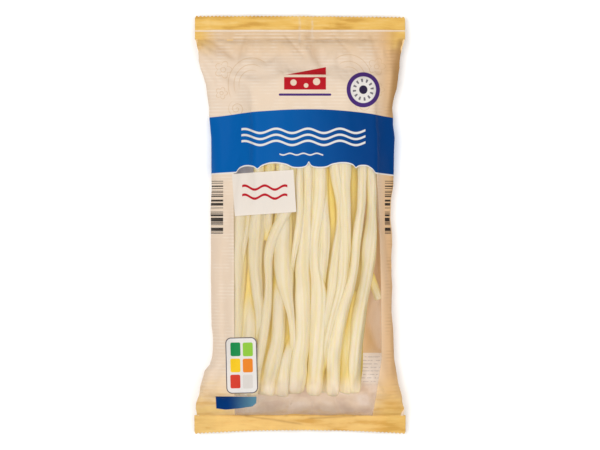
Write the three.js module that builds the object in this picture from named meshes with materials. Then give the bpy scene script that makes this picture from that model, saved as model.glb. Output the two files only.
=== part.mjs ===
// A flow-wrapped pillow pack of cheese strings, lying on its back with its window up.
// Millimetres. X runs across the pack, Y along it towards the top seal, Z out of its face.
import * as THREE from 'three';
import { mergeVertices } from 'three/addons/utils/BufferGeometryUtils.js';

const { clamp, lerp, smoothstep } = THREE.MathUtils;

// ---- Driving dimensions ----

const BODY_WIDTH = 110.4;
const BODY_THICKNESS = 27;
const TOP_SEAL_WIDTH = 126.4;
const BOTTOM_SEAL_WIDTH = 128.2;
const SEAL_THICKNESS = 1;

const PACK_LENGTH = 251.4;
const TOP_SEAL_DEPTH = 14.2;
const BOTTOM_SEAL_DEPTH = 11.5;

// Where the straight sides begin to flare out to each seal.
const TOP_FLARE_Y = 72;
const BOTTOM_FLARE_Y = -81;

// The left side is tucked in above the bottom flare, and steps out again over a short kink.
const TUCK_DEPTH = 2.4;
const TUCK_LENGTH = 24;
const TUCK_STEP = 6;

// The contents fill the bag between these, and it thins out beyond them.
const FULL_TOP_Y = 50;
const FULL_BOTTOM_Y = -92;

// Heights above the surface that the pack lies on.
const SIDE_FOLD_HEIGHT = 11.5;
const SEAL_HEIGHT = 5;
const SEAL_DROOP = 1.5;

// The cut ends are not quite straight: the top one runs down to the right, the bottom one bows up.
const TOP_EDGE_FALL = 1.6;
const BOTTOM_EDGE_BOW = 2.4;

// Cross-section roundness: the exponent of a superellipse, nearly square in the flat seals.
const BODY_SQUARENESS = 3;
const SEAL_SQUARENESS = 9;

// The film lies over a row of strings, each a long low ridge that wanders a little.
const STRING_PITCH = 10.2;
const STRING_RELIEF = 0.9;
const STRING_SWAY = 2.2;
const STRING_SWAY_LENGTH = 150;
const STRINGS_HALF_WIDTH = 44;

// Gathers run from each seal into the bag and die away.
const PUCKER_PITCH = 15;
const PUCKER_RELIEF = 0.7;
const PUCKER_LENGTH = 26;

// The long sides wave in and out slightly.
const SIDE_WAVE = 0.5;
const SIDE_WAVE_LENGTH = 62;

// The film's two edges are sealed to each other down the middle of the back, and folded flat.
const FIN_WIDTH = 12;
const FIN_THICKNESS = 0.5;

// How finely the skin is divided, and how much closer its rows lie at the ends than in the middle.
const CELLS_ACROSS = 34;
const CELLS_ALONG = 42;
const CELLS_THROUGH = 4;
const END_CROWDING = 0.4;

// ---- The shape, as functions of the place on the pack ----

const TOP_EDGE_Y = PACK_LENGTH / 2;
const TOP_SEAL_Y = TOP_EDGE_Y - TOP_SEAL_DEPTH;
const BOTTOM_EDGE_Y = -PACK_LENGTH / 2;
const BOTTOM_SEAL_Y = BOTTOM_EDGE_Y + BOTTOM_SEAL_DEPTH;

/** 1 at `from`, falling smoothly to 0 at `length` away on either side. */
function fadeFrom(value, from, length) {
  return 1 - smoothstep(Math.abs(value - from), 0, length);
}

/** 0 where the bag is full, rising to 1 at the seal that closes it. */
function taper(y) {
  const towardsTop = (y - FULL_TOP_Y) / (TOP_SEAL_Y - FULL_TOP_Y);
  const towardsBottom = (FULL_BOTTOM_Y - y) / (FULL_BOTTOM_Y - BOTTOM_SEAL_Y);
  return clamp(Math.max(towardsTop, towardsBottom), 0, 1);
}

/** How far the bag is blown out at y: 1 where it is full, falling in a round shoulder to 0. */
function fullness(y) {
  const t = taper(y);
  const shoulder = Math.sqrt(1 - t * t);
  const slackening = 1 - 0.35 * smoothstep(t, 0.35, 1);
  return shoulder * slackening;
}

/** How far the left side is tucked in at y. */
function tuck(y) {
  const length = y > BOTTOM_FLARE_Y ? TUCK_LENGTH : TUCK_STEP;
  return TUCK_DEPTH * fadeFrom(y, BOTTOM_FLARE_Y, length);
}

/** Half the pack's width at y, on the left (side -1) or the right (side 1). */
function halfWidth(y, side) {
  const topFlare = clamp((y - TOP_FLARE_Y) / (TOP_SEAL_Y - TOP_FLARE_Y), 0, 1);
  const bottomFlare = clamp((BOTTOM_FLARE_Y - y) / (BOTTOM_FLARE_Y - BOTTOM_SEAL_Y), 0, 1);
  const sealWidth = y > 0 ? TOP_SEAL_WIDTH : BOTTOM_SEAL_WIDTH;
  const flare = Math.max(topFlare, bottomFlare);
  const wave = SIDE_WAVE * Math.sin((2 * Math.PI * y) / SIDE_WAVE_LENGTH + side) * (1 - flare);
  const inset = side < 0 ? tuck(y) : 0;
  return lerp(BODY_WIDTH, sealWidth, flare) / 2 + wave - inset;
}

/** The cut edge's shift along Y at x: a slope at the top, a bow at the bottom. */
function edgeShift(x, y) {
  const share = (2 * x) / TOP_SEAL_WIDTH;
  const nearTop = smoothstep(y, TOP_SEAL_Y, TOP_EDGE_Y);
  const nearBottom = smoothstep(-y, -BOTTOM_SEAL_Y, -BOTTOM_EDGE_Y);
  const fall = TOP_EDGE_FALL * smoothstep(share, 0, 1);
  const bow = BOTTOM_EDGE_BOW * (1 - share * share);
  return bow * nearBottom - fall * nearTop;
}

/** Valleys between the long ridges where the strings press up into the film. */
function stringRelief(x, y) {
  const sway = STRING_SWAY * Math.sin((2 * Math.PI * y) / STRING_SWAY_LENGTH + x / STRINGS_HALF_WIDTH);
  const ridge = Math.abs(Math.cos((Math.PI * (x + sway)) / STRING_PITCH));
  const overStrings = 1 - smoothstep(Math.abs(x), STRINGS_HALF_WIDTH - STRING_PITCH, STRINGS_HALF_WIDTH);
  const whereFull = 1 - smoothstep(taper(y), 0, 0.5);
  return STRING_RELIEF * (ridge - 1) * overStrings * whereFull;
}

/** Gathers that run in from the seals. */
function puckerRelief(x, y) {
  const atTop = fadeFrom(y, TOP_SEAL_Y, PUCKER_LENGTH);
  const atBottom = fadeFrom(y, BOTTOM_SEAL_Y, PUCKER_LENGTH);
  const insideTheBag = smoothstep(fullness(y), 0, 0.3);
  const wave = Math.sin((2 * Math.PI * x) / PUCKER_PITCH);
  return PUCKER_RELIEF * wave * Math.max(atTop, atBottom) * insideTheBag;
}

/** The fin's thickness, on the back of the pack only. */
function finRelief(x) {
  return -FIN_THICKNESS * (1 - smoothstep(Math.abs(x), FIN_WIDTH / 4, (FIN_WIDTH * 3) / 4));
}

// ---- The pack ----

/** Moves one point of a box, two units each way, onto the pack's skin. */
function ontoSkin(point) {
  const { x: across, y: along, z: through } = point;
  const crowded = along + (END_CROWDING * Math.sin(Math.PI * along)) / Math.PI;
  const y = lerp(BOTTOM_EDGE_Y, TOP_EDGE_Y, (crowded + 1) / 2);
  const blown = fullness(y);

  // Square rings round the box become superellipses. Only the two end faces hold rings smaller than 1.
  const ring = Math.max(Math.abs(across), Math.abs(through)) || 1;
  const squareness = lerp(SEAL_SQUARENESS, BODY_SQUARENESS, smoothstep(blown, 0, 0.5));
  const corner = Math.abs(across / ring) ** squareness + Math.abs(through / ring) ** squareness;
  const reach = corner ** (1 / squareness) || 1;
  const x = (across / reach) * halfWidth(y, Math.sign(across));
  const rise = through / reach;

  const intoSeal = Math.max(y - TOP_SEAL_Y, BOTTOM_SEAL_Y - y, 0) / TOP_SEAL_DEPTH;
  const fold = lerp(SEAL_HEIGHT - SEAL_DROOP * intoSeal, SIDE_FOLD_HEIGHT, blown);
  const upper = lerp(SEAL_THICKNESS / 2, BODY_THICKNESS - SIDE_FOLD_HEIGHT, blown);
  const lower = lerp(SEAL_THICKNESS / 2, SIDE_FOLD_HEIGHT * 1.1, blown);
  const height = rise > 0 ? rise * upper : rise * lower;
  const relief = rise > 0 ? rise * (stringRelief(x, y) + puckerRelief(x, y)) : -rise * finRelief(x);
  return new THREE.Vector3(x, y + edgeShift(x, y), Math.max(fold + height + relief, 0));
}

/** The filled and sealed bag: film, seals and contents as one closed skin, flat where it rests. */
function makePack() {
  const box = new THREE.BoxGeometry(2, 2, 2, CELLS_ACROSS, CELLS_ALONG, CELLS_THROUGH);
  box.deleteAttribute('uv');
  box.deleteAttribute('normal');
  const skin = mergeVertices(box);
  const points = skin.getAttribute('position');
  for (let i = 0; i < points.count; i += 1) {
    const moved = ontoSkin(new THREE.Vector3().fromBufferAttribute(points, i));
    points.setXYZ(i, moved.x, moved.y, moved.z);
  }
  skin.computeBoundingBox();
  const middle = skin.boundingBox.getCenter(new THREE.Vector3());
  skin.translate(-middle.x, -middle.y, 0);
  skin.computeVertexNormals();

  const film = new THREE.MeshStandardMaterial({ color: 0xf0dcae, roughness: 0.42, metalness: 0 });
  const mesh = new THREE.Mesh(skin, film);
  mesh.name = 'pack';
  return mesh;
}

const stringCheesePack = new THREE.Group();
stringCheesePack.add(makePack());

export default stringCheesePack;
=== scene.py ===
# %% [markdown]
# # A pillow pack of cheese strings
# This lesson builds the looks of a flow-wrapped pack that lies on its back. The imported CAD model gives
# the outer size of the whole thing. Blender makes what the eye sees: the strings of cheese, the film bag
# round them with its printed colours and clear window, and the crimped seals at both ends. Sizes on the
# pack are written in millimetres and made metres with MM. The camera, the lamps and the cloth solver have
# metres.

# %% Load the frame
import functools
import math
import random

import bmesh
import bpy
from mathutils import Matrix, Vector


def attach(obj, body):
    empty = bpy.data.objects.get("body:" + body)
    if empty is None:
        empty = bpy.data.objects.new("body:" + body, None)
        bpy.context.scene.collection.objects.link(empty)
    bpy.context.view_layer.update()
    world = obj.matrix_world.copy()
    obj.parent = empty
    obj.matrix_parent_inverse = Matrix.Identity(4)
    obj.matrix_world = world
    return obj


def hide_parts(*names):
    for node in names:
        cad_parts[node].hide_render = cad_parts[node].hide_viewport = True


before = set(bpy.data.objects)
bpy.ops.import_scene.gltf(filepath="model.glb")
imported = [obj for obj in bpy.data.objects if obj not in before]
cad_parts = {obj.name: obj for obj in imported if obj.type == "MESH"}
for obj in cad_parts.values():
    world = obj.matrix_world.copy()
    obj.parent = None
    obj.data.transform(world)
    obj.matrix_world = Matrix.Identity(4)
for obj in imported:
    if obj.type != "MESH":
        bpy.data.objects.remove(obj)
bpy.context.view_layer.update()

MM = 0.001
HAIR = 0.1 * MM

# %% [markdown]
# ## Small helpers
# An operator works on whatever is selected, so each step starts by clearing the selection and choosing
# one object. Modifiers are applied as soon as they have done their work, so every piece ends as a plain
# mesh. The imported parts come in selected, so they are let go first.

# %% Helpers
def choose(thing):
    """Selects one object only and makes it the active one."""
    bpy.ops.object.select_all(action="DESELECT")
    thing.select_set(True)
    bpy.context.view_layer.objects.active = thing


def edit(thing):
    """Opens one object in edit mode with nothing selected, and gives its editable mesh."""
    choose(thing)
    bpy.ops.object.mode_set(mode="EDIT")
    bpy.ops.mesh.select_mode(type="VERT")
    bpy.ops.mesh.select_all(action="DESELECT")
    return bmesh.from_edit_mesh(thing.data)


def leave_edit():
    bpy.ops.object.mode_set(mode="OBJECT")


def apply_all(thing):
    """Applies every modifier, and puts the place, turn and size into the mesh."""
    choose(thing)
    for modifier in list(thing.modifiers):
        bpy.ops.object.modifier_apply(modifier=modifier.name)
    bpy.ops.object.transform_apply(location=True, rotation=True, scale=True)


def remove(thing):
    bpy.data.objects.remove(thing, do_unlink=True)


bpy.ops.object.select_all(action="DESELECT")

# %% [markdown]
# ## Camera, floor and light
# The pack is seen from straight above. The camera stands far off with a long lens, so that the sides of
# the pack stay parallel. The lens is worked out from the width that it has to show at the level of the
# seals.

# %% Camera
CAMERA_HEIGHT = 2.6
VIEW_WIDTH = 0.360
SENSOR = 36.0
SEAL_LEVEL = 5.0

bpy.ops.object.camera_add(location=(0, 0, CAMERA_HEIGHT), rotation=(0, 0, 0))
camera = bpy.context.object
camera.name = "camera"
camera.data.sensor_width = SENSOR
camera.data.lens = SENSOR * (CAMERA_HEIGHT - SEAL_LEVEL * MM) / VIEW_WIDTH
camera.data.clip_start, camera.data.clip_end = 0.1, 100
bpy.context.scene.camera = camera

# %% [markdown]
# The floor is a plain pale sheet, a hair under the pack. Two large soft lamps light it, because film
# shows every small lamp as a hard white spot. The one at the left is the brighter, so that side of the
# pack is lighter. A plain pale world fills the shadows.

# %% Floor and lamps
FLOOR_SIZE, FLOOR_LEVEL = 6.0, -0.2
bpy.ops.mesh.primitive_plane_add(size=FLOOR_SIZE, location=(0, 0, FLOOR_LEVEL * MM))
floor = bpy.context.object
floor.name = "floor"


def soft_lamp(name, place, size, watts):
    """A square area lamp that looks at the middle of the pack and is itself left out of the picture."""
    bpy.ops.object.light_add(type="AREA", location=place)
    lamp = bpy.context.object
    lamp.name = name
    lamp.data.shape = "SQUARE"
    lamp.data.size = size
    lamp.data.energy = watts
    lamp.visible_camera = False
    lamp.rotation_mode = "QUATERNION"
    lamp.rotation_quaternion = (-Vector(place)).to_track_quat("-Z", "Y")


soft_lamp("key_lamp", place=(-0.5, 0.05, 1.25), size=0.9, watts=10.4)
soft_lamp("fill_lamp", place=(0.6, -0.1, 1.25), size=1.0, watts=7.4)
world = bpy.data.worlds.new("studio")
world.use_nodes = True
sky = world.node_tree.nodes["Background"].inputs
sky["Color"].default_value = (1, 1, 1, 1)
sky["Strength"].default_value = 0.5
bpy.context.scene.world = world
bpy.context.scene.view_settings.view_transform = "Standard"

floor_paint = bpy.data.materials.new("pale_floor")
floor_paint.use_nodes = True
paint = floor_paint.node_tree.nodes["Principled BSDF"].inputs
paint["Base Color"].default_value = (0.97, 0.97, 0.97, 1)
paint["Roughness"].default_value = 0.8
floor.data.materials.append(floor_paint)
print("lamps, floor and a camera with a lens of", round(camera.data.lens), "mm")

# %% [markdown]
# ## The strings
# The cheese is pulled into long strands, and each string is a few strands that stuck together, so it is a
# flattened rope with grooves that wander slowly round it. One straight string is modelled first: a
# cylinder cut into many rings, with a groove pressed in between every two strands and its ends drawn in.

# %% One straight string
SIDES = 28
RINGS = 96
GROOVES = ((0, 0.06), (5, 0.04), (9, 0.08), (14, 0.04), (18, 0.07), (23, 0.04))
END_CUTS = ((0.498, 0.74), (0.489, 0.92))


def select_vertices(thing, wanted):
    """In edit mode, selects the vertices whose place passes the test, and nothing else."""
    mesh = bmesh.from_edit_mesh(thing.data)
    bpy.ops.mesh.select_mode(type="VERT")
    for vertex in mesh.verts:
        vertex.select_set(wanted(vertex.co))
    mesh.select_flush_mode()
    bmesh.update_edit_mesh(thing.data)


def on_side(place, side):
    """True where a point of the cylinder lies on one of its long edges, counted round it."""
    turn = math.atan2(place.y, place.x) / (2 * math.pi)
    return place.xy.length > 0.3 and round(turn * SIDES) % SIDES == side


def roll_straight_string():
    """A unit string along Z, one wide and one long, with uneven grooves and drawn-in ends."""
    bpy.ops.mesh.primitive_cylinder_add(vertices=SIDES, radius=0.5, depth=1.0, end_fill_type="NGON")
    straight = bpy.context.object
    straight.name = "straight_string"
    mesh = edit(straight)
    bpy.ops.mesh.select_mode(type="EDGE")
    for long_edge in mesh.edges:
        low, high = sorted(v.co.z for v in long_edge.verts)
        long_edge.select_set(high - low > 0.5)
    bmesh.update_edit_mesh(straight.data)
    bpy.ops.mesh.subdivide(number_cuts=RINGS)
    for side, depth in GROOVES:
        select_vertices(straight, lambda co: on_side(co, side))
        bpy.ops.transform.resize(value=(1 - 2 * depth, 1 - 2 * depth, 1), center_override=(0, 0, 0))
    for end, share in END_CUTS:
        select_vertices(straight, lambda co: abs(co.z) > end)
        bpy.ops.transform.resize(value=(share, share, 1), center_override=(0, 0, 0))
    leave_edit()
    return straight


straight_string = roll_straight_string()
print("straight string:", len(straight_string.data.vertices), "vertices")

# %% [markdown]
# A real string swells and thins along its length, and has fibres that run along it. Two Displace
# modifiers make both. They read a cloud noise through an empty that is stretched along the string, so the
# lumps come out long, and the empty stands somewhere else for each string, so no two are alike.

# %% Cloud noises for lumps and fibres
def cloud(name, grain):
    """A soft noise with one finer noise in it; grain is the size of its patches in millimetres."""
    noise = bpy.data.textures.new(name, "CLOUDS")
    noise.noise_scale = grain * MM
    noise.noise_depth = 1
    return noise


LUMP_NOISE = cloud("string_lumps", 7.5)
FIBRE_NOISE = cloud("string_fibres", 3.0)
LUMP_STRETCH, FIBRE_STRETCH = 3.4, 13.0
LUMP_HEIGHT, FIBRE_HEIGHT = 1.8, 0.5


def stretched_noise(string, noise, stretch, height, place):
    """A Displace modifier whose noise is drawn out along the string."""
    bpy.ops.object.empty_add(location=place)
    ruler = bpy.context.object
    ruler.scale = (1, 1, stretch)
    bpy.context.view_layer.update()
    relief = string.modifiers.new(noise.name, "DISPLACE")
    relief.texture = noise
    relief.texture_coords = "OBJECT"
    relief.texture_coords_object = ruler
    relief.strength = height * MM
    relief.mid_level = 0.5
    return ruler


# %% [markdown]
# Each string is a copy of the straight one. A Simple Deform modifier twists it by its own amount, so its
# grooves drift from side to side. Then it gets its width and length, its lumps and fibres, and at last a
# Curve modifier bends it along its route. The other way is to sweep a section along the curve, but then
# the fibres would have to be made after bending, and they wouldn't follow the string so well.

# %% Bend a string along its own route
FLATNESS = 0.64
TWIST = (30, 110)


def string_route(name, knots, usual_width):
    """A smooth curve through given knots (x, y, z, width), in millimetres. Its radius carries the width."""
    curve = bpy.data.curves.new(name, "CURVE")
    curve.dimensions = "3D"
    curve.twist_mode = "Z_UP"
    curve.resolution_u = 8
    spline = curve.splines.new("NURBS")
    spline.points.add(len(knots) - 1)
    spline.order_u = 3
    spline.use_endpoint_u = True
    for point, (x, y, z, width) in zip(spline.points, knots):
        point.co = (x * MM, y * MM, z * MM, 1)
        point.radius = width / usual_width
    route = bpy.data.objects.new(name, curve)
    bpy.context.scene.collection.objects.link(route)
    return route


def make_string(name, knots, seed, smoothing=1):
    """Copies the straight string, roughens it, and bends it along its route."""
    dice = random.Random(seed)
    usual_width = sum(knot[3] for knot in knots) / len(knots)
    route = string_route(name + "_route", knots, usual_width)
    choose(straight_string)
    bpy.ops.object.duplicate()
    string = bpy.context.object
    string.name = string.data.name = name
    string.rotation_euler.z = dice.uniform(0, 2 * math.pi)
    twist = string.modifiers.new("twist", "SIMPLE_DEFORM")
    twist.deform_method = "TWIST"
    twist.deform_axis = "Z"
    twist.angle = math.radians(dice.uniform(*TWIST)) * dice.choice((-1, 1))
    apply_all(string)
    length = sum(math.dist(a[:3], b[:3]) for a, b in zip(knots, knots[1:])) * MM
    string.scale = (usual_width * MM, usual_width * FLATNESS * MM, length)
    string.location = (0, 0, length / 2)
    bpy.ops.object.transform_apply(location=True, rotation=True, scale=True)
    if smoothing:
        smooth = string.modifiers.new("smooth", "SUBSURF")
        smooth.levels = smooth.render_levels = smoothing
    place = [dice.uniform(-1, 1) for _ in range(3)]
    rulers = [stretched_noise(string, LUMP_NOISE, LUMP_STRETCH, LUMP_HEIGHT, place),
              stretched_noise(string, FIBRE_NOISE, FIBRE_STRETCH, FIBRE_HEIGHT, place)]
    bend = string.modifiers.new("bend", "CURVE")
    bend.object = route
    bend.deform_axis = "POS_Z"
    apply_all(string)
    bpy.ops.object.shade_smooth()
    for helper in (route, *rulers):
        remove(helper)
    return string


# %% [markdown]
# The top layer is what the window shows, so each of its strings has its own route: points (x, y, lift,
# width) in millimetres. The film presses the strings level, so lift is how far a string's top lies above
# or below that level. A string dips where another crosses it, and where it starts or ends under its
# neighbours.

# %% The top layer
CREST_LEVEL, TOP_FALL = 24.3, 4.6
FALL_START = 14.0
CONTENTS_HALF_WIDTH = 48.0


def layer_height(x, layer, fall):
    """Each layer bends towards the side folds of the bag: the top one down, the bottom one up."""
    share = max(0.0, abs(x) - FALL_START) / (CONTENTS_HALF_WIDTH - FALL_START)
    return layer - fall * share * share


TOP_STRINGS = {
    "right": [(41.1, 88.2, -6, 7.2), (42.3, 51, -0.5, 6.6), (42.3, 36, 0, 6.3), (42.7, 21, 0, 6),
              (42.6, 7.8, 0, 6.3), (42.3, -0.6, 0.2, 7.5), (41.5, -10.2, 0.2, 8.2), (40.7, -19.8, 0.2, 8),
              (39.7, -28.2, 0, 7.1), (38.3, -37.2, 0, 7.2), (36.6, -46.2, 0, 8), (34.7, -59.4, 0, 9),
              (33.4, -72, 0, 8.8), (32.8, -84.6, 0, 8.4), (32.5, -100.8, -2.2, 8.1)],
    "right_inner": [(35.7, 87, -7, 5.4), (37, 45, 0, 6.3), (37.1, 23.4, 0.2, 5.4), (36.7, 11.4, 0.3, 5.3),
                    (34.9, 1.8, 0.4, 5.7), (33.4, -9, 0.4, 6), (32.8, -19.2, 0.4, 5.7),
                    (32, -27.6, 0.5, 5.7), (29.7, -37.2, 0.6, 6.3), (26.4, -46.8, 0.7, 7.8),
                    (23.3, -57.6, 0.6, 9.6), (21.9, -67.2, 0.4, 9.9), (20.7, -75.6, 0.2, 9.6),
                    (20.1, -84.6, 0, 9.3), (19.1, -102, -2.2, 8.1)],
    "right_middle": [(26.1, 84.6, -5, 8.4), (26.7, 45, 0, 9), (26.8, 34.2, 0.1, 9.3),
                     (26.3, 23.4, 0.1, 7.5), (26.5, 11.4, 0.1, 7.3), (26.6, -0.6, 0, 7.3),
                     (26.7, -12.6, -0.1, 7.8), (26.3, -24, -0.2, 7.5), (24.7, -35.4, -0.3, 7.5),
                     (21.9, -45.6, -0.4, 6.9), (18.7, -55.2, -0.5, 5.7), (15.9, -66.6, -0.7, 4.8),
                     (14.1, -78.6, -1.4, 4.2), (11.7, -93, -5, 4.2)],
    "right_facet": [(18.9, 84.6, -5, 6.6), (19.7, 45, -0.2, 6.6), (20.1, 34.2, -0.1, 6.3),
                    (21.9, 24.6, -0.3, 5.4), (23.7, 15.6, -0.8, 4.8), (24.3, 4.8, -1.2, 4.8),
                    (23.2, -6.6, -0.6, 4.8), (21.5, -17.4, -0.1, 5.4), (20.3, -27.6, 0, 6),
                    (19.4, -36.6, 0, 6), (17.7, -45.6, -0.1, 5.4), (15.5, -56.4, -0.6, 4.2),
                    (13.5, -70.2, -2, 3.6), (11.1, -90, -5, 3.6)],
    "right_gap": [(18.3, 69, -5, 8.4), (18.9, 21, -4.2, 8.4), (19.5, -4.2, -4.4, 7.8),
                  (17.7, -27, -3.8, 6.6), (17.1, -57, -6, 6)],
    "right_under": [(32.7, -39, -5, 6), (29.7, -55.8, -3, 6.9), (27.9, -70.2, -2, 7.5),
                    (27.3, -83.4, -1.8, 7.5), (26.5, -100.8, -2.8, 6.9)],
    "middle_right": [(11.1, 90, -5, 7.8), (11.5, 45, 0.1, 9), (11.6, 21, 0.2, 9.3), (11.1, 7.8, 0.3, 9),
                     (9.3, -4.2, 0.3, 7.8), (8.5, -15, 0.3, 7.2), (8.9, -25.8, 0.3, 7.8),
                     (10.9, -36.6, 0.4, 9.6), (11.3, -46.8, 0.3, 10.2), (11.1, -59.4, 0.3, 10.5),
                     (10.4, -71.4, 0.2, 10.2), (9.8, -84.6, 0.1, 10.2), (8.5, -101.7, -2, 9)],
    "middle_edge": [(15.9, 36, -4, 3.6), (14.4, 21, -2.2, 3.6), (14.6, 9, -0.4, 5.4),
                    (15.1, -1.8, 0.3, 6.3), (14.6, -12.6, 0.3, 6.3), (13.9, -22.2, 0.1, 6),
                    (13.1, -31.2, -0.5, 5.4), (12.1, -42.6, -2.4, 4.8)],
    "middle_left": [(3.9, 87, -5, 6), (4.5, 45, 0, 5.7), (4.5, 21, 0.1, 5.4), (4.1, 9, 0.2, 6),
                    (3.3, -3, 0.3, 6.9), (2.3, -14.4, 0.3, 8.4), (1.5, -24.6, 0.3, 9.9),
                    (1.9, -36.6, 0.4, 10.5), (2, -48.6, 0.3, 10.2), (1.9, -63, 0.3, 9.9),
                    (0.8, -72.6, 0.3, 10.5), (-1.1, -81.6, 0.3, 11.1), (-2.1, -90.6, 0.2, 11.4),
                    (-3.3, -100.2, -1.8, 9.9)],
    "middle_foot": [(-3.9, -63, -5, 4.2), (-5.3, -71.4, -2, 5.1), (-7.5, -78.6, -0.3, 6.3),
                    (-9.1, -87.6, 0, 7.5), (-11, -102, -2.2, 7.5)],
    "middle_thin": [(-0.3, 51, -5, 3.6), (0.3, 36, 0.2, 4.2), (-0.1, 21, 0.5, 4.2), (0.5, 9.6, 0.6, 4.2),
                    (-0.1, 0, 0.6, 3.9), (-1.5, -7.8, 0.5, 3.6), (-3.2, -15, 0.2, 3.1),
                    (-4.3, -22.8, -0.8, 2.5), (-5.1, -34.2, -3, 2.4)],
    "left_wide": [(-9.3, 89.4, -5, 9), (-9.3, 39, 0, 9.6), (-9.5, 12, -0.2, 9.6), (-9.8, 3, -0.2, 10.2),
                  (-10.1, -6.6, 0, 11.7), (-10.5, -16.2, 0.2, 12.3), (-10.3, -25.2, 0.3, 11.7),
                  (-9.4, -33.6, 0.3, 10.2), (-8.2, -40.8, 0.3, 8.1), (-6.5, -47.4, 0.2, 6.3),
                  (-5.1, -54.6, 0.1, 4.8), (-4.3, -64.2, -0.2, 4.2), (-4.3, -75, -1.2, 4.2),
                  (-4.5, -90, -5, 3.6)],
    "left_foot": [(-12.9, -22.2, -5, 5.4), (-13, -34.8, -2.6, 6.6), (-12.8, -43.2, -0.7, 7.8),
                  (-12.7, -51.6, 0, 9), (-13, -60.6, 0.1, 9), (-13.4, -69.6, 0.1, 9.3),
                  (-15.1, -78.6, 0.1, 9.6), (-16.9, -87.6, 0, 10.2), (-19.5, -101.4, -2, 8.7)],
    "left_slant": [(-4.5, 45, -3, 5.4), (-4.9, 21, -0.6, 6), (-7.3, 10.2, 0.4, 7.8),
                   (-11.5, 1.8, 0.7, 8.1), (-15.5, -5.4, 0.7, 7.2), (-17.9, -12.6, 0.6, 6),
                   (-19.1, -21, 0.5, 5.4), (-18.7, -29.4, 0.5, 4.8), (-18.4, -37.8, 0.6, 4.8),
                   (-19, -45.6, 0.6, 5.4), (-20.2, -55.2, 0.5, 6.3), (-21.8, -66, 0.4, 6.9),
                   (-23.7, -76.8, 0.3, 6.3), (-25.5, -87, 0.1, 5.7), (-28.3, -102, -2.2, 5.4)],
    "left_piece": [(-17.7, 45, -3, 6), (-18.7, 18, -0.3, 6), (-19, 6.6, 0, 6), (-19.3, -0.6, -0.7, 5.4),
                   (-19.5, -9, -3.4, 4.8)],
    "left_inner": [(-25.5, 84.6, -5, 7.2), (-24.3, 27, 0, 6.6), (-24.7, 10.8, 0.1, 7.2),
                   (-25.4, 0.6, 0.3, 8.7), (-26.6, -9, 0.4, 9.6), (-26.9, -19.2, 0.4, 9.6),
                   (-26.6, -29.4, 0.4, 8.7), (-25.6, -39, 0.3, 7.5), (-24.4, -48, 0.1, 6.3),
                   (-24.3, -57, -0.3, 4.8), (-24.9, -67.8, -1.8, 4.2), (-25.5, -82.2, -5, 3.6)],
    "left_under": [(-29.7, -24.6, -5, 4.2), (-29.9, -36, -3.8, 4.8), (-30.1, -44.4, -2, 6),
                   (-30.1, -53.4, -0.7, 7.8), (-30.2, -64.2, 0.1, 9.6), (-30.7, -76.2, 0, 9.6),
                   (-31.5, -87, -0.1, 9), (-33.2, -101.7, -1.6, 7.8)],
    "left": [(-33.9, 26.4, -5, 7.8), (-34.4, 18.6, -1.6, 8.7), (-34.9, 7.8, -0.3, 9.3),
             (-35.7, -3, -0.2, 9), (-36.2, -13.8, -0.2, 8.7), (-35.9, -23.4, -0.1, 9.3),
             (-36.2, -33, 0, 9.3), (-37, -42.6, 0, 8.7), (-37.1, -53.4, -0.1, 8.4),
             (-37.5, -72, -0.2, 8.1), (-37.6, -101.4, -2.2, 7.2)],
    "left_tuck": [(-30.3, 12, -2.2, 3.6), (-30.9, 1.8, -0.5, 3.6), (-32, -6.6, -0.3, 3.6),
                  (-33.4, -15, -0.5, 3), (-34.7, -23.4, -1.6, 2.7)],
    "left_edge": [(-41.1, 25.2, -6, 7.2), (-41.8, 15, -4.2, 6.6), (-42.7, -19.8, -3.4, 6.6),
                  (-42.1, -55.2, -3.6, 6.3), (-41.1, -95.4, -4.2, 6)],
    "middle_gap": [(-5.7, -27, -5, 5.4), (-7.7, -52.2, -4.4, 5.7), (-8.3, -64.2, -4.4, 5.7),
                   (-9.9, -78.6, -4.6, 5.7), (-12.3, -95.4, -6, 5.4)],
    "left_band": [(-17.7, -39, -5.4, 5.7), (-19.5, -69, -3.4, 5.7), (-20.9, -82.2, -3.4, 5.7),
                  (-23.7, -95.4, -4.4, 5.7)],
    "stray_end": [(36.9, -16.2, -7, 4.8), (39.9, -24.6, -4.4, 5.1), (42.9, -32.4, -2.2, 5.4),
                  (45.3, -38.7, -1.2, 5.4), (47.3, -44.4, -1, 5.4)],
}
strings = []
for number, (place_name, rows) in enumerate(TOP_STRINGS.items()):
    knots = [(x, y, layer_height(x, CREST_LEVEL, TOP_FALL) + lift - FLATNESS * width / 2, width)
             for x, y, lift, width in rows]
    strings.append(make_string("string_" + place_name, knots, number))
print("top layer:", len(strings), "strings")

# %% [markdown]
# Two more layers lie under the top one. Little of them shows, only deep in the gaps and from the side, so
# they are laid out by a rule: side by side, each with a slow sway of its own. At the left they end lower,
# as the top ones do, so the bag is empty behind the first scallop.

# %% The lower layers
LOWER_LAYERS = {"middle": (15.2, 2.6, 9), "bottom": (5.8, -2.6, 8)}
LOWER_WIDTH = 10.6
LAYER_LEFT, LAYER_RIGHT = -40.0, 31.5
SWAY, SWAY_ANGLE = 2.0, 5.0
WOBBLE, RISE = (-0.6, 0.6), (-0.3, 0.3)
STRING_TOP, STRING_FOOT = 82.0, -99.0
TOP_SPREAD, FOOT_SPREAD = (-9, 6), (-2, 5)
SHORT_SIDE, SHORT_TOP = -28.0, 25.0
STEPS = 9


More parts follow.
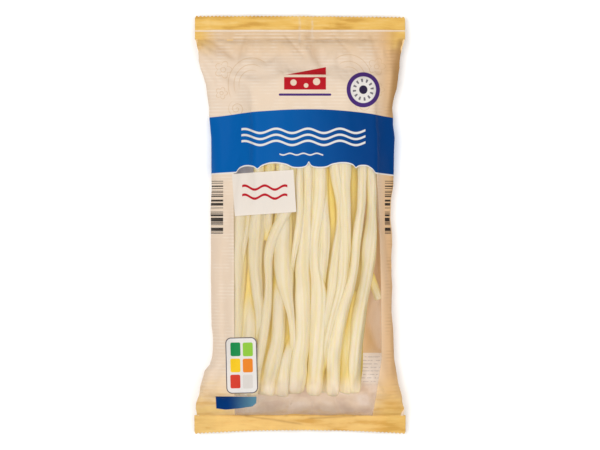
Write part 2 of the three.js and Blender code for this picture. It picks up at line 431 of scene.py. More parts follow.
def swaying_points(dice, middle, layer, fall):
    """Points down the pack that drift slowly from side to side about one line."""
    phase = dice.uniform(0, 2 * math.pi)
    top = (STRING_TOP if middle > SHORT_SIDE else SHORT_TOP) + dice.uniform(*TOP_SPREAD)
    foot = STRING_FOOT + dice.uniform(*FOOT_SPREAD)
    points = []
    for step in range(STEPS + 1):
        share = step / STEPS
        x = middle + SWAY * math.sin(phase + SWAY_ANGLE * share) + dice.uniform(*WOBBLE)
        z = layer_height(x, layer, fall) + dice.uniform(*RISE)
        points.append((x, top + share * (foot - top), z, LOWER_WIDTH))
    return points


dice = random.Random(5)
for layer_name, (layer, fall, count) in LOWER_LAYERS.items():
    for place in range(count):
        middle = LAYER_LEFT + (LAYER_RIGHT - LAYER_LEFT) * place / (count - 1)
        points = swaying_points(dice, middle, layer, fall)
        strings.append(make_string(f"string_{layer_name}_{place}", points, len(strings), smoothing=0))
print("all layers:", len(strings), "strings")

# %% [markdown]
# ## The film bag
# A flow wrapper folds one web of film into a tube round the food and seals both ends. So the bag is made
# the same way: two flat sheets, joined along their long sides, are the shape that the film wants to keep.
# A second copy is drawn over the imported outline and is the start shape. A cloth simulation then pulls the
# film back to its flat size, and what is too long for the pillow shape goes into puckers, as on the real
# pack.

# %% Two flat sheets joined at the sides
CELLS_ACROSS, CELLS_ALONG = 40, 72
FLAT_WIDTH, FLAT_LENGTH = 127.3, 233.0
TOP_SEAL_LINE, BOTTOM_SEAL_LINE = 111.4, -114.4
FRONT, BACK = 0, 1


def lay_flat_bag():
    """A flat tube: a front sheet and a back sheet with their side edges merged, and both ends open."""
    bpy.ops.mesh.primitive_grid_add(x_subdivisions=CELLS_ACROSS, y_subdivisions=CELLS_ALONG, size=1)
    bag = bpy.context.object
    bag.scale = (FLAT_WIDTH * MM, FLAT_LENGTH * MM, 1)
    bpy.ops.object.transform_apply(location=True, rotation=True, scale=True)
    for sheet in ("printed_front", "printed_back"):
        bag.data.materials.append(bpy.data.materials.new(sheet))
    edit(bag)
    bpy.ops.mesh.select_all(action="SELECT")
    bpy.ops.mesh.duplicate()
    bpy.ops.mesh.flip_normals()
    bag.active_material_index = BACK
    bpy.ops.object.material_slot_assign()
    select_vertices(bag, lambda co: abs(co.x) > FLAT_WIDTH * MM / 2 - HAIR)
    bpy.ops.mesh.remove_doubles(threshold=HAIR)
    leave_edit()
    return bag


bag = lay_flat_bag()
bag.name = bag.data.name = "film_bag"
print("flat bag:", len(bag.data.vertices), "vertices")

# %% [markdown]
# The start shape is a copy of the flat bag. Its rows between the seals are drawn in with proportional
# editing, which fades out evenly to the wide seals, and two Shrinkwrap modifiers lay the front sheet on
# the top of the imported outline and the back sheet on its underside.

# %% The start shape
PACK_BODY = bpy.data.objects["pack"]
BODY_SHARE = 0.875
BODY_SHIFT = 1.5
FLARE_LENGTH = 40.0
STRAIGHT_TOP, STRAIGHT_BOTTOM = 72.0, -82.0
TOP_SEAL_WIDTH, BOTTOM_SEAL_WIDTH = 126.2, 126.8
CORNER_LOSS = 1.6
PILLOW_LEVEL = 10.5
SEAL_SQUASH = 0.3


def group_sheets(bag):
    """Vertex groups for the front sheet, the back sheet and the two sealed end rows."""
    sheets = {sheet: {v for face in bag.data.polygons if face.material_index == sheet for v in face.vertices}
              for sheet in (FRONT, BACK)}
    fold = sheets[FRONT] & sheets[BACK]
    half_length = max(v.co.y for v in bag.data.vertices)
    ends = {v.index for v in bag.data.vertices if abs(v.co.y) > half_length - HAIR}
    for name, members in (("front", sheets[FRONT] - fold), ("back", sheets[BACK] - fold), ("seals", ends)):
        bag.vertex_groups.new(name=name).add(sorted(members), 1.0, "REPLACE")


group_sheets(bag)
choose(bag)
bpy.ops.object.duplicate()
pillow = bpy.context.object
pillow.name = "pillow_start"
pillow.scale = (1, (TOP_SEAL_LINE - BOTTOM_SEAL_LINE) / FLAT_LENGTH, 1)
pillow.location = (0, (TOP_SEAL_LINE + BOTTOM_SEAL_LINE) / 2 * MM, PILLOW_LEVEL * MM)
bpy.ops.object.transform_apply(location=True, rotation=True, scale=True)
edit(pillow)
select_vertices(pillow, lambda co: STRAIGHT_BOTTOM * MM < co.y < STRAIGHT_TOP * MM)
fade_to_seals = {"use_proportional_edit": True, "proportional_edit_falloff": "LINEAR",
                 "proportional_size": FLARE_LENGTH * MM}
bpy.ops.transform.resize(value=(BODY_SHARE, 1, 1), **fade_to_seals)
bpy.ops.transform.translate(value=(BODY_SHIFT * MM, 0, 0), **fade_to_seals)
for line, width in ((TOP_SEAL_LINE, TOP_SEAL_WIDTH), (BOTTOM_SEAL_LINE, BOTTOM_SEAL_WIDTH)):
    select_vertices(pillow, lambda co: abs(co.y - line * MM) < HAIR)
    bpy.ops.transform.resize(value=((width + CORNER_LOSS) / FLAT_WIDTH, 1, 1))
leave_edit()
for sheet, upward in (("front", True), ("back", False)):
    wrap = pillow.modifiers.new(sheet, "SHRINKWRAP")
    wrap.target = PACK_BODY
    wrap.vertex_group = sheet
    wrap.wrap_method = "PROJECT"
    wrap.use_project_z = True
    wrap.use_positive_direction = upward
    wrap.use_negative_direction = not upward
apply_all(pillow)
edit(pillow)
select_vertices(pillow, lambda co: not BOTTOM_SEAL_LINE * MM + HAIR < co.y < TOP_SEAL_LINE * MM - HAIR)
bpy.ops.transform.resize(value=(1, 1, SEAL_SQUASH), center_override=(0, 0, SEAL_LEVEL * MM))
leave_edit()
print("start shape:", [round(v / MM, 1) for v in pillow.dimensions], "mm")

# %% [markdown]
# A heat seal never comes out quite flat: it waves up and down across the pack. The same wave is put on
# the end rows of the bag here and on the seal strips later, so that they meet. It is a cloud noise that
# is drawn out along the pack, so its ridges run lengthwise.

# %% The wave of the seals
WAVE_NOISE = cloud("seal_wave", 11)
WAVE_STRETCH = 7.0
WAVE_HEIGHT = 4.5


def wave_seal(thing, group=""):
    """Puts the shared wave on the vertices of one group, or on all of them."""
    bpy.ops.object.empty_add(location=(0, 0, SEAL_LEVEL * MM))
    ruler = bpy.context.object
    ruler.scale = (1, WAVE_STRETCH, 1)
    bpy.context.view_layer.update()
    wave = thing.modifiers.new("wave", "DISPLACE")
    wave.texture = WAVE_NOISE
    wave.texture_coords = "OBJECT"
    wave.texture_coords_object = ruler
    wave.direction = "Z"
    wave.strength = WAVE_HEIGHT * MM
    wave.mid_level = 0.5
    wave.vertex_group = group
    apply_all(thing)
    remove(ruler)


wave_seal(pillow, "seals")
print("start shape with waved ends:", [round(v / MM, 1) for v in pillow.dimensions], "mm")

# %% [markdown]
# The film must not sink into the cheese, so a copy of all strings is fused into one closed lump and set
# as an obstacle, and so is the floor. The solver works best on things a few metres long, so all of it is
# made ten times as large for the run.

# %% The obstacles
SIM_SCALE = 10
LUMP_VOXEL = 2.2
CHEESE_GAP, GROUND_GAP = 0.006, 0.003
GRIP = 2.0


def fused_strings():
    """One closed skin round a copy of every string."""
    bpy.ops.object.select_all(action="DESELECT")
    for string in strings:
        string.select_set(True)
    bpy.context.view_layer.objects.active = strings[0]
    bpy.ops.object.duplicate()
    bpy.ops.object.join()
    lump = bpy.context.object
    lump.name = "fused_strings"
    remesh = lump.modifiers.new("fuse", "REMESH")
    remesh.mode = "VOXEL"
    remesh.voxel_size = LUMP_VOXEL * MM
    lump.scale = (SIM_SCALE,) * 3
    apply_all(lump)
    return lump


def obstacle(thing, gap):
    """Makes a thing that the film can't pass, with a small gap kept round it."""
    thing.modifiers.new("obstacle", "COLLISION")
    thing.collision.thickness_outer = gap
    thing.collision.cloth_friction = GRIP


lump = fused_strings()
obstacle(lump, CHEESE_GAP)
bpy.ops.mesh.primitive_plane_add(size=4, location=(0, 0, 0))
ground = bpy.context.object
obstacle(ground, GROUND_GAP)
print("obstacle:", len(lump.data.polygons), "faces")

# %% [markdown]
# The flat bag goes into the start shape as a shape key, and the Cloth settings name it as the rest shape.
# A little gas pressure keeps the bag round where no string touches it. The two sealed ends are pinned,
# and the run stops as soon as the film has settled.

# %% The simulation
SIM_FRAMES = 36
for shape in (bag, pillow):
    shape.scale = (SIM_SCALE,) * 3
    choose(shape)
    bpy.ops.object.transform_apply(location=True, rotation=True, scale=True)
bpy.ops.object.select_all(action="DESELECT")
bag.select_set(True)
pillow.select_set(True)
bpy.context.view_layer.objects.active = pillow
bpy.ops.object.join_shapes()
film = pillow.modifiers.new("film", "CLOTH")
film.settings.quality = 6
film.settings.mass = 0.25
film.settings.tension_stiffness = 30
film.settings.compression_stiffness = 30
film.settings.shear_stiffness = 10
film.settings.bending_stiffness = 0.4
film.settings.tension_damping = 20
film.settings.compression_damping = 20
film.settings.shear_damping = 20
film.settings.air_damping = 6
film.settings.vertex_group_mass = "seals"
film.settings.rest_shape_key = pillow.data.shape_keys.key_blocks[bag.name]
film.settings.use_pressure = True
film.settings.uniform_pressure_force = 0.35
film.collision_settings.distance_min = 0.006
film.collision_settings.collision_quality = 2
film.point_cache.frame_end = SIM_FRAMES
for frame_number in range(1, SIM_FRAMES + 1):
    bpy.context.scene.frame_set(frame_number)
choose(pillow)
bpy.ops.object.convert(target="MESH")
bpy.context.scene.frame_set(1)
for helper in (bag, ground):
    remove(helper)
bag = pillow
bag.name = bag.data.name = "film_bag"
for simulated in (lump, bag):
    simulated.modifiers.clear()
    simulated.scale = (1 / SIM_SCALE,) * 3
    apply_all(simulated)
print("simulated bag:", [round(v / MM, 1) for v in bag.dimensions], "mm")

# %% [markdown]
# The simulated cells are about 3 mm wide, too coarse for film. Two levels of subdivision turn their
# straight edges into smooth folds. Then the back is laid flat at the level where the folded fin under it
# holds it.

# %% Round off the film
FIN_LEVEL = 0.6
round_off = bag.modifiers.new("round", "SUBSURF")
round_off.levels = round_off.render_levels = 2
apply_all(bag)
bpy.ops.object.shade_smooth()
for vertex in bag.data.vertices:
    vertex.co.z = max(vertex.co.z, FIN_LEVEL * MM)
print("film bag:", len(bag.data.polygons), "faces")

# %% [markdown]
# A filled bag's sides are never quite straight: a string pushes one stretch out, and a fold draws the
# next one in. Each push has a side, a lowest and a highest place, the length over which it fades, and its
# amount.

# %% Push the sides out and in
SIDE_PUSHES = [(1, 64, 82, 6, -0.8), (1, 16, 60, 8, 1.2), (1, -52, 4, 16, 2.0), (1, -90, -62, 8, -0.6),
               (1, -114, -95, 8, 1.2), (1, -114, -106, 3, 1.2), (-1, 84, 108, 9, 1.5), (-1, 8, 66, 14, -1.2),
               (-1, -82.5, -60, 8, -0.9), (-1, -114.2, -83.5, 4, 2.5)]
PUSH_START, PUSH_FADE = 15.0, 40.0


def push_side(vertices, side, low, high, ramp, push):
    """Moves one long side of the bag outwards by push between two heights, and fades out over ramp."""
    for vertex in vertices:
        y = vertex.co.y / MM
        out = side * vertex.co.x / MM
        share = max(0.0, min(1.0, (y - low) / ramp, (high - y) / ramp, (out - PUSH_START) / PUSH_FADE))
        vertex.co.x += side * push * share * MM


for side_push in SIDE_PUSHES:
    push_side(bag.data.vertices, *side_push)
sides = [vertex.co.x / MM for vertex in bag.data.vertices]
print("sides of the bag at", round(min(sides), 1), "and", round(max(sides), 1), "mm")

# %% [markdown]
# The film is slack beside the seals, where a flat end has to widen into a round bag. What is too much
# there is laid in gathers: straight folds that are deepest at the seal, with a raised lip on both sides.
# The large ones are listed one by one, each as (x, y) at the seal, (x, y) at its far end, depth and width.
# Many small faint ones come between them at random. Both sheets share them near the seal, because they
# are sealed together there.

# %% Gathers beside the seals
SLACK_REACH = {TOP_SEAL_LINE: 34.0, BOTTOM_SEAL_LINE: 26.0}
SLACK_START = 5.0
LOWER_SHEET_REACH = 16.0
GATHERS = [(-32.5, 113, -38, 96, 1.6, 2.4), (-9, 113, 4, 98, 2.2, 1.9), (-0.5, 114, 0.5, 102, 1.2, 1.2),
           (4, 113, 16, 84, 2.2, 3.8), (20.5, 113, 32, 100, 1.9, 1.9), (42, 113, 49, 90, 1.8, 2.8),
           (-54, 110, -36, 96, 2.8, 3.2), (-8, -114, -2, -98, 2.4, 1.8), (12, -114, 3, -102, 2.0, 1.6),
           (26, -114, 18, -100, 2.2, 1.8), (40, -113, 44, -90, 1.8, 2.4), (-20, -114, -13, -103, 2.2, 1.8),
           (33, -114, 38, -102, 1.8, 1.5), (2, -114, 12, -106, 2.0, 1.4), (-31, -114, -22, -105, 1.8, 1.4)]
SMALL_GATHERS = 34
GATHER_SPAN, GATHER_LENGTH, GATHER_DRIFT = (-56, 56), (5, 17), (-5, 5)
SMALL_DEPTH, SMALL_WIDTH = (0.3, 0.9), (0.8, 1.7)
LIP_HEIGHT, LIP_PLACE, GATHER_EDGE = 0.45, 2, 4


def slackness(y):
    """0 at a seal, 1 close beside it, and 0 again where the strings fill the bag."""
    share = 0.0
    for line, reach in SLACK_REACH.items():
        gap = abs(y - line)
        share = max(share, min(gap / SLACK_START, 1, max(0, 1 - (gap - SLACK_START) / reach)))
    return share


def small_gathers(dice):
    """Short faint gathers at uneven places along both seals."""
    gathers = []
    for number in range(SMALL_GATHERS):
        line = (TOP_SEAL_LINE, BOTTOM_SEAL_LINE)[number % 2]
        x = dice.uniform(*GATHER_SPAN)
        length = dice.uniform(*GATHER_LENGTH) * (-1 if line > 0 else 1)
        gathers.append((x, line, x + dice.uniform(*GATHER_DRIFT), line + length,
                        dice.uniform(*SMALL_DEPTH), dice.uniform(*SMALL_WIDTH)))
    return gathers


def press_gather(vertices, gather):
    """Presses one gather into the sheet: deepest near the seal, gone at its far end, with raised lips."""
    x0, y0, x1, y1, depth, width = gather
    along_x, along_y = x1 - x0, y1 - y0
    length_squared = along_x ** 2 + along_y ** 2
    for vertex, slack_here in vertices:
        x, y = vertex.co.x / MM - x0, vertex.co.y / MM - y0
        share = max(0.0, min(1.0, (x * along_x + y * along_y) / length_squared))
        gap = math.hypot(x - share * along_x, y - share * along_y) / width
        if gap < GATHER_EDGE:
            ridge = math.exp(-gap * gap) - LIP_HEIGHT * math.exp(-(gap - LIP_PLACE) ** 2)
            vertex.co.z -= depth * (1 - share) * slack_here * ridge * MM


def sheet_share(vertex):
    """How much of a gather a vertex takes: all on the upper sheet, and on the lower one only near a seal."""
    y = vertex.co.y / MM
    nearest = min(abs(y - TOP_SEAL_LINE), abs(y - BOTTOM_SEAL_LINE))
    return slackness(y) * (1 if vertex.normal.z > 0 else max(0, 1 - nearest / LOWER_SHEET_REACH))


slack_vertices = [(v, sheet_share(v)) for v in bag.data.vertices]
slack_vertices = [(v, share) for v, share in slack_vertices if share > 0]
gathers = GATHERS + small_gathers(random.Random(11))
for gather in gathers:
    press_gather(slack_vertices, gather)
print(len(gathers), "gathers in", len(slack_vertices), "slack vertices")

# %% [markdown]
# Film that isn't pulled tight also crumples into small sharp facets. A Displace modifier lifts the ridges
# of a cell pattern, which is drawn out along the pack, and a vertex group fades it out where the strings
# fill the bag. A Shrinkwrap modifier then keeps the film clear of the cheese, and a little smoothing
# takes the harshness off. Wrinkles from a finer simulation would look much the same, but take many
# minutes.

# %% Crumple the slack film
CRUMPLE_HEIGHT, CRUMPLE_LEVEL = 4.5, 0.17
CRUMPLE_GRAIN, CRUMPLE_STRETCH, CRUMPLE_TURN = 8.5, 2.4, 8
CRUMPLE_PLACE = (0.002, 0.003, 0)
FILM_GAP = 0.25
slack = bag.vertex_groups.new(name="slack")
for vertex in bag.data.vertices:
    if vertex.co.z > FIN_LEVEL * MM:
        slack.add([vertex.index], slackness(vertex.co.y / MM), "REPLACE")
crumple_cells = bpy.data.textures.new("crumple_cells", "VORONOI")
crumple_cells.noise_scale = CRUMPLE_GRAIN * MM
crumple_cells.weight_1, crumple_cells.weight_2 = -1.0, 1.0
bpy.ops.object.empty_add(location=CRUMPLE_PLACE)
ruler = bpy.context.object
ruler.scale = (1, CRUMPLE_STRETCH, 1)
ruler.rotation_euler = (0, 0, math.radians(CRUMPLE_TURN))
bpy.context.view_layer.update()
crumple = bag.modifiers.new("crumple", "DISPLACE")
crumple.texture = crumple_cells
crumple.texture_coords = "OBJECT"
crumple.texture_coords_object = ruler
crumple.vertex_group = "slack"
crumple.strength = CRUMPLE_HEIGHT * MM
crumple.mid_level = CRUMPLE_LEVEL
clear_of_cheese = bag.modifiers.new("clear_of_cheese", "SHRINKWRAP")
clear_of_cheese.target = lump
clear_of_cheese.wrap_method = "NEAREST_SURFACEPOINT"
clear_of_cheese.wrap_mode = "OUTSIDE"
clear_of_cheese.offset = FILM_GAP * MM
soften = bag.modifiers.new("soften", "SMOOTH")
soften.factor = 0.5
soften.iterations = 4
soften.vertex_group = "slack"
apply_all(bag)
for helper in (ruler, lump):
    remove(helper)
print("crumpled bag:", [round(v / MM, 1) for v in bag.dimensions], "mm")

# %% [markdown]
# At the seals the two sheets have to meet, or a dark slit shows from the ends. Above each stretch of the
# seal the highest and the lowest vertex of the rim give the slit, and both sheets move half of it towards
# each other, less and less up to a few millimetres into the bag. Which sheet a vertex is on is asked
# first for all of them, because a mesh works out its normals again each time after a vertex has moved.

# %% Close the ends of the bag
SHUT_REACH, RIM_CELL, RIM_DEPTH = 5.0, 0.8, 0.01


def press_shut(vertices, line):
    """Brings the two sheets together at a seal, and less so up to a few millimetres into the bag."""
    rims = {}
    for vertex in vertices:
        if abs(vertex.co.y / MM - line) < RIM_DEPTH:
            rims.setdefault(round(vertex.co.x / MM / RIM_CELL), []).append(vertex.co.z)
    ways = [-1 if vertex.normal.z > 0 else 1 for vertex in vertices]
    for vertex, way in zip(vertices, ways):
        gap = abs(vertex.co.y / MM - line)
        rim = rims.get(round(vertex.co.x / MM / RIM_CELL))
        if rim and gap < SHUT_REACH:
            vertex.co.z += way * (max(rim) - min(rim)) / 2 * (1 - gap / SHUT_REACH) ** 2


for line in SLACK_REACH:
    press_shut(bag.data.vertices, line)
print("closed bag:", [round(v / MM, 1) for v in bag.dimensions], "mm")

# %% [markdown]
# ## The end seals
# Heated jaws press both sheets together at each end. They leave fine ribs across the pack, and the blade
# that parts one pack from the next leaves a row of small teeth. Each seal is a plane divided into narrow
# rows: every second row is lifted for the ribs, and every second point of the outer row is drawn in for
# the teeth. The shared wave and a Solidify modifier finish it.

# %% Crimped seal strips
TOP_EDGE, BOTTOM_EDGE = 126.5, -126.4
TOOTH_PITCH, TOOTH_DEPTH, TOOTH_ROWS = 2.3, 2.4, 6
RIB_PITCH, RIB_HEIGHT = 1.4, 0.4
SEAL_THICKNESS = 0.3
OVERLAP = 0.5
SEAL_LIFT, SEAL_DROOP = 1.1, 1.4
EDGE_FALL, EDGE_BOW = 0.8, 2.4


def crimped_strip(name, width, line, edge):
    """One seal: a ribbed strip from just inside the bag at line to a toothed outer edge."""
    outward = math.copysign(1, edge - line)
    inner = line - OVERLAP * outward
    depth = abs(edge - inner)
    columns = 2 * round(width / TOOTH_PITCH)
    rows = 2 * round(depth / RIB_PITCH)
    bpy.ops.mesh.primitive_grid_add(x_subdivisions=columns, y_subdivisions=rows, size=1)
    strip = bpy.context.object
    strip.name = strip.data.name = name
    strip.scale = (width * MM, depth * MM, 1)
    strip.location = (0, (inner + edge) / 2 * MM, (SEAL_LEVEL + SEAL_LIFT) * MM)
    bpy.ops.object.transform_apply(location=True, rotation=True, scale=True)
    edit(strip)
    row_step = depth / rows * MM
    select_vertices(strip, lambda co: round(abs(co.y - inner * MM) / row_step) % 2 == 1)
    bpy.ops.transform.translate(value=(0, 0, RIB_HEIGHT * MM))
    column_step = width / columns * MM
    for row in reversed(range(TOOTH_ROWS)):
        select_vertices(strip, lambda co: abs(abs(co.y - edge * MM) - row * row_step) < row_step / 4
                        and round(co.x / column_step) % 2 == 1)
        pull = TOOTH_DEPTH * (1 - row / TOOTH_ROWS)
        bpy.ops.transform.translate(value=(0, -outward * pull * MM, 0))
    select_vertices(strip, lambda co: abs(co.y - edge * MM) < row_step / 2 + TOOTH_DEPTH * MM)
    bpy.ops.transform.translate(value=(0, 0, -SEAL_DROOP * MM), use_proportional_edit=True,
                                proportional_edit_falloff="SMOOTH", proportional_size=depth * MM)
    leave_edit()
    return strip


def slant_cut(strip, line, edge, shift):
    """Moves the outer edge along the pack by shift(x), and the rest less. No blade cuts quite straight."""
    for vertex in strip.data.vertices:
        share = max(0.0, (vertex.co.y / MM - line) / (edge - line))
        vertex.co.y += share * shift(2 * vertex.co.x / strip.dimensions.x) * MM


top_seal = crimped_strip("top_seal", TOP_SEAL_WIDTH, TOP_SEAL_LINE, TOP_EDGE)
bottom_seal = crimped_strip("bottom_seal", BOTTOM_SEAL_WIDTH, BOTTOM_SEAL_LINE, BOTTOM_EDGE)
slant_cut(top_seal, TOP_SEAL_LINE, TOP_EDGE, lambda share: -EDGE_FALL * max(0.0, share))
slant_cut(bottom_seal, BOTTOM_SEAL_LINE, BOTTOM_EDGE, lambda share: EDGE_BOW * (1 - share * share))
for strip in (top_seal, bottom_seal):
    wave_seal(strip)
    walls = strip.modifiers.new("two_sheets", "SOLIDIFY")
    walls.thickness = SEAL_THICKNESS * MM
    walls.offset = 0
    walls.material_offset = 1
    round_off = strip.modifiers.new("round", "SUBSURF")
    round_off.levels = round_off.render_levels = 1
    for sheet in ("printed_front", "printed_back"):
        strip.data.materials.append(bpy.data.materials[sheet])
    apply_all(strip)
    bpy.ops.object.shade_smooth()
    print(strip.name, [round(v / MM, 1) for v in strip.dimensions], "mm")

# %% [markdown]
# The film's two long edges are sealed to each other down the middle of the back, and this fin lies folded
# flat under the pack. It is a long narrow grid with every second row lifted, for the ribs of the sealing
# wheel.

# %% The fin under the back
FIN_WIDTH, FIN_THICKNESS = 12.0, 0.2
FIN_RIB_PITCH, FIN_RIB_HEIGHT = 1.6, 0.15
FIN_COLUMNS = 8
fin_length = TOP_SEAL_LINE - BOTTOM_SEAL_LINE
fin_rows = 2 * round(fin_length / FIN_RIB_PITCH)
bpy.ops.mesh.primitive_grid_add(x_subdivisions=FIN_COLUMNS, y_subdivisions=fin_rows, size=1)
fin_seal = bpy.context.object
fin_seal.name = fin_seal.data.name = "fin_seal"
fin_seal.scale = (FIN_WIDTH * MM, fin_length * MM, 1)
fin_middle = (TOP_SEAL_LINE + BOTTOM_SEAL_LINE) / 2
fin_seal.location = (0, fin_middle * MM, (FIN_LEVEL / 2 - FIN_RIB_HEIGHT / 2) * MM)
bpy.ops.object.transform_apply(location=True, rotation=True, scale=True)
edit(fin_seal)
row_step = fin_length / fin_rows * MM
select_vertices(fin_seal, lambda co: abs(co.x) < FIN_WIDTH * MM / 2 - HAIR
                and round((co.y - BOTTOM_SEAL_LINE * MM) / row_step) % 2 == 1)
bpy.ops.transform.translate(value=(0, 0, FIN_RIB_HEIGHT * MM))
leave_edit()
walls = fin_seal.modifiers.new("two_sheets", "SOLIDIFY")
walls.thickness = FIN_THICKNESS * MM
walls.offset = 0
fin_seal.data.materials.append(bpy.data.materials["printed_back"])
apply_all(fin_seal)
bpy.ops.object.shade_smooth()
print("fin seal:", [round(v / MM, 1) for v in fin_seal.dimensions], "mm")

# %% [markdown]
# ## Drawing with nodes
# The print is made of flat shapes, so it is drawn by maths and stays sharp at any size. A small class
# adds the nodes for one drawing to a node group. Each shape first gives a distance in millimetres to its
# outline, more than zero inside. A distance becomes a filled shape or a line, and each ink is laid over
# what is under it. All places and sizes given to the board are millimetres on the pack, and shares of ink
# run from 0 to 1.

# %% A drawing board in millimetres
SOFT_EDGE = 0.15


def plug(tree, value, socket):
    """Links an output to a socket, or writes a plain value into it."""
    if isinstance(value, bpy.types.NodeSocket):
        tree.links.new(value, socket)
    else:
        socket.default_value = value


def blend_colours(tree, share, first, second):
    """The first colour where the share is 0, and the second where it is 1."""
    mix = tree.nodes.new("ShaderNodeMix")
    mix.data_type = "RGBA"
    for value, place in ((share, 0), (first, 6), (second, 7)):
        plug(tree, value, mix.inputs[place])
    return mix.outputs[2]


def ink(code):
    """A colour code such as F0D9BE as linear light."""
    shares = [int(code[i:i + 2], 16) / 255 for i in (0, 2, 4)]
    return (*[v / 12.92 if v < 0.04045 else ((v + 0.055) / 1.055) ** 2.4 for v in shares], 1)


def chain(operation):
    """A method that joins two or more values by one kind of sum."""
    return lambda board, *values: functools.reduce(lambda a, b: board.maths(operation, a, b), values)


class Drawing:
    """Adds nodes for flat shapes, placed in millimetres on the pack, to a new node group."""

    plus, minus, times, over = map(chain, ("ADD", "SUBTRACT", "MULTIPLY", "DIVIDE"))
    most, least = map(chain, ("MAXIMUM", "MINIMUM"))
    both = times

    def __init__(self, name, outputs):
        self.tree = bpy.data.node_groups.new(name, "ShaderNodeTree")
        for socket_name, kind in outputs.items():
            self.tree.interface.new_socket(socket_name, in_out="OUTPUT", socket_type="NodeSocket" + kind)
        self.ends = self.tree.nodes.new("NodeGroupOutput")
        self.sources = self.tree.nodes.new("ShaderNodeTexCoord").outputs
        self.point = self.sources["Object"]
        place = self.split(self.point)
        self.x, self.y, self.z = (self.times(place[axis], 1 / MM) for axis in "XYZ")

    def split(self, vector):
        """The three numbers of a vector."""
        node = self.tree.nodes.new("ShaderNodeSeparateXYZ")
        self.tree.links.new(vector, node.inputs[0])
        return node.outputs

    def maths(self, operation, *values):
        node = self.tree.nodes.new("ShaderNodeMath")
        node.operation = operation
        for value, socket in zip(values, node.inputs):
            plug(self.tree, value, socket)
        return node.outputs[0]

    def times_plus(self, value, factor, more):
        return self.maths("MULTIPLY_ADD", value, factor, more)

    def size(self, value):
        return self.maths("ABSOLUTE", value)

    def wave(self, value, length):
        """A sine wave that comes round again after some millimetres."""
        return self.maths("SINE", self.times(value, 2 * math.pi / length))

    def reach(self, across, up):
        """The straight distance of a place that is so far across and so far up."""
        return self.maths("SQRT", self.plus(self.times(across, across), self.times(up, up)))

    def ramp(self, value, low, high, to_low=0.0, to_high=1.0):
        """A smooth step from one value to another."""
        node = self.tree.nodes.new("ShaderNodeMapRange")
        node.interpolation_type = "SMOOTHSTEP"
        for socket, v in zip(node.inputs, (value, low, high, to_low, to_high)):
            plug(self.tree, v, socket)
        return node.outputs[0]

    def noise(self, grain, detail=2.0, stretch=(1, 1, 1)):
        """A noise whose patches are about grain millimetres wide."""
        node = self.tree.nodes.new("ShaderNodeTexNoise")
        node.inputs["Scale"].default_value = 1 / (grain * MM)
        node.inputs["Detail"].default_value = detail
        squeeze = self.tree.nodes.new("ShaderNodeMapping")
        squeeze.inputs["Scale"].default_value = stretch
        self.tree.links.new(self.point, squeeze.inputs["Vector"])
        self.tree.links.new(squeeze.outputs[0], node.inputs["Vector"])
        return node.outputs[0]

    def side(self, start, end):
        """Distance from the line start to end, more than zero on its left."""
        (x0, y0), (x1, y1) = start, end
        length = math.dist(start, end)
        along_x, along_y = (x1 - x0) / length, (y1 - y0) / length
        part = self.times_plus(self.x, -along_y, x0 * along_y - y0 * along_x)
        return self.times_plus(self.y, along_x, part)

    def polygon(self, corners):
        """A convex shape; its corners run anticlockwise."""
        return self.least(*[self.side(*ends) for ends in zip(corners, corners[1:] + corners[:1])])

    def box(self, x, y, half_width, half_height, corner=0.0, turn=0.0):
        """A box with rounded corners, turned anticlockwise by some degrees."""
        cosine, sine = math.cos(math.radians(turn)), math.sin(math.radians(turn))
        across = self.times_plus(self.x, cosine, self.times_plus(self.y, sine, -x * cosine - y * sine))
        up = self.times_plus(self.y, cosine, self.times_plus(self.x, -sine, x * sine - y * cosine))
        over_x = self.minus(self.size(across), half_width - corner)
        over_y = self.minus(self.size(up), half_height - corner)
        outside = self.reach(self.most(over_x, 0), self.most(over_y, 0))
        inside = self.least(self.most(over_x, over_y), 0)
        return self.minus(corner, self.plus(outside, inside))

    def ellipse(self, x, y, radius_x, radius_y):
        """A round shape; the distance is true on its outline."""
        across = self.over(self.minus(self.x, x), radius_x)
        up = self.over(self.minus(self.y, y), radius_y)
        return self.times(self.minus(1, self.reach(across, up)), (radius_x + radius_y) / 2)

    def fill(self, distance, blur=SOFT_EDGE):
        return self.ramp(distance, -blur, blur)

    def line(self, distance, width, blur=SOFT_EDGE):
        """A line of some width along the outline."""
        return self.fill(self.minus(width / 2, self.size(distance)), blur)

    def without(self, mask, hole):
        return self.times(mask, self.minus(1, hole))

    def lay(self, under, colour, mask):
        """One ink over what is under it, where the mask is 1."""
        return blend_colours(self.tree, mask, under, colour)

    def finish(self, **results):
        for socket_name, value in results.items():
            plug(self.tree, value, self.ends.inputs[socket_name])
        return self.tree
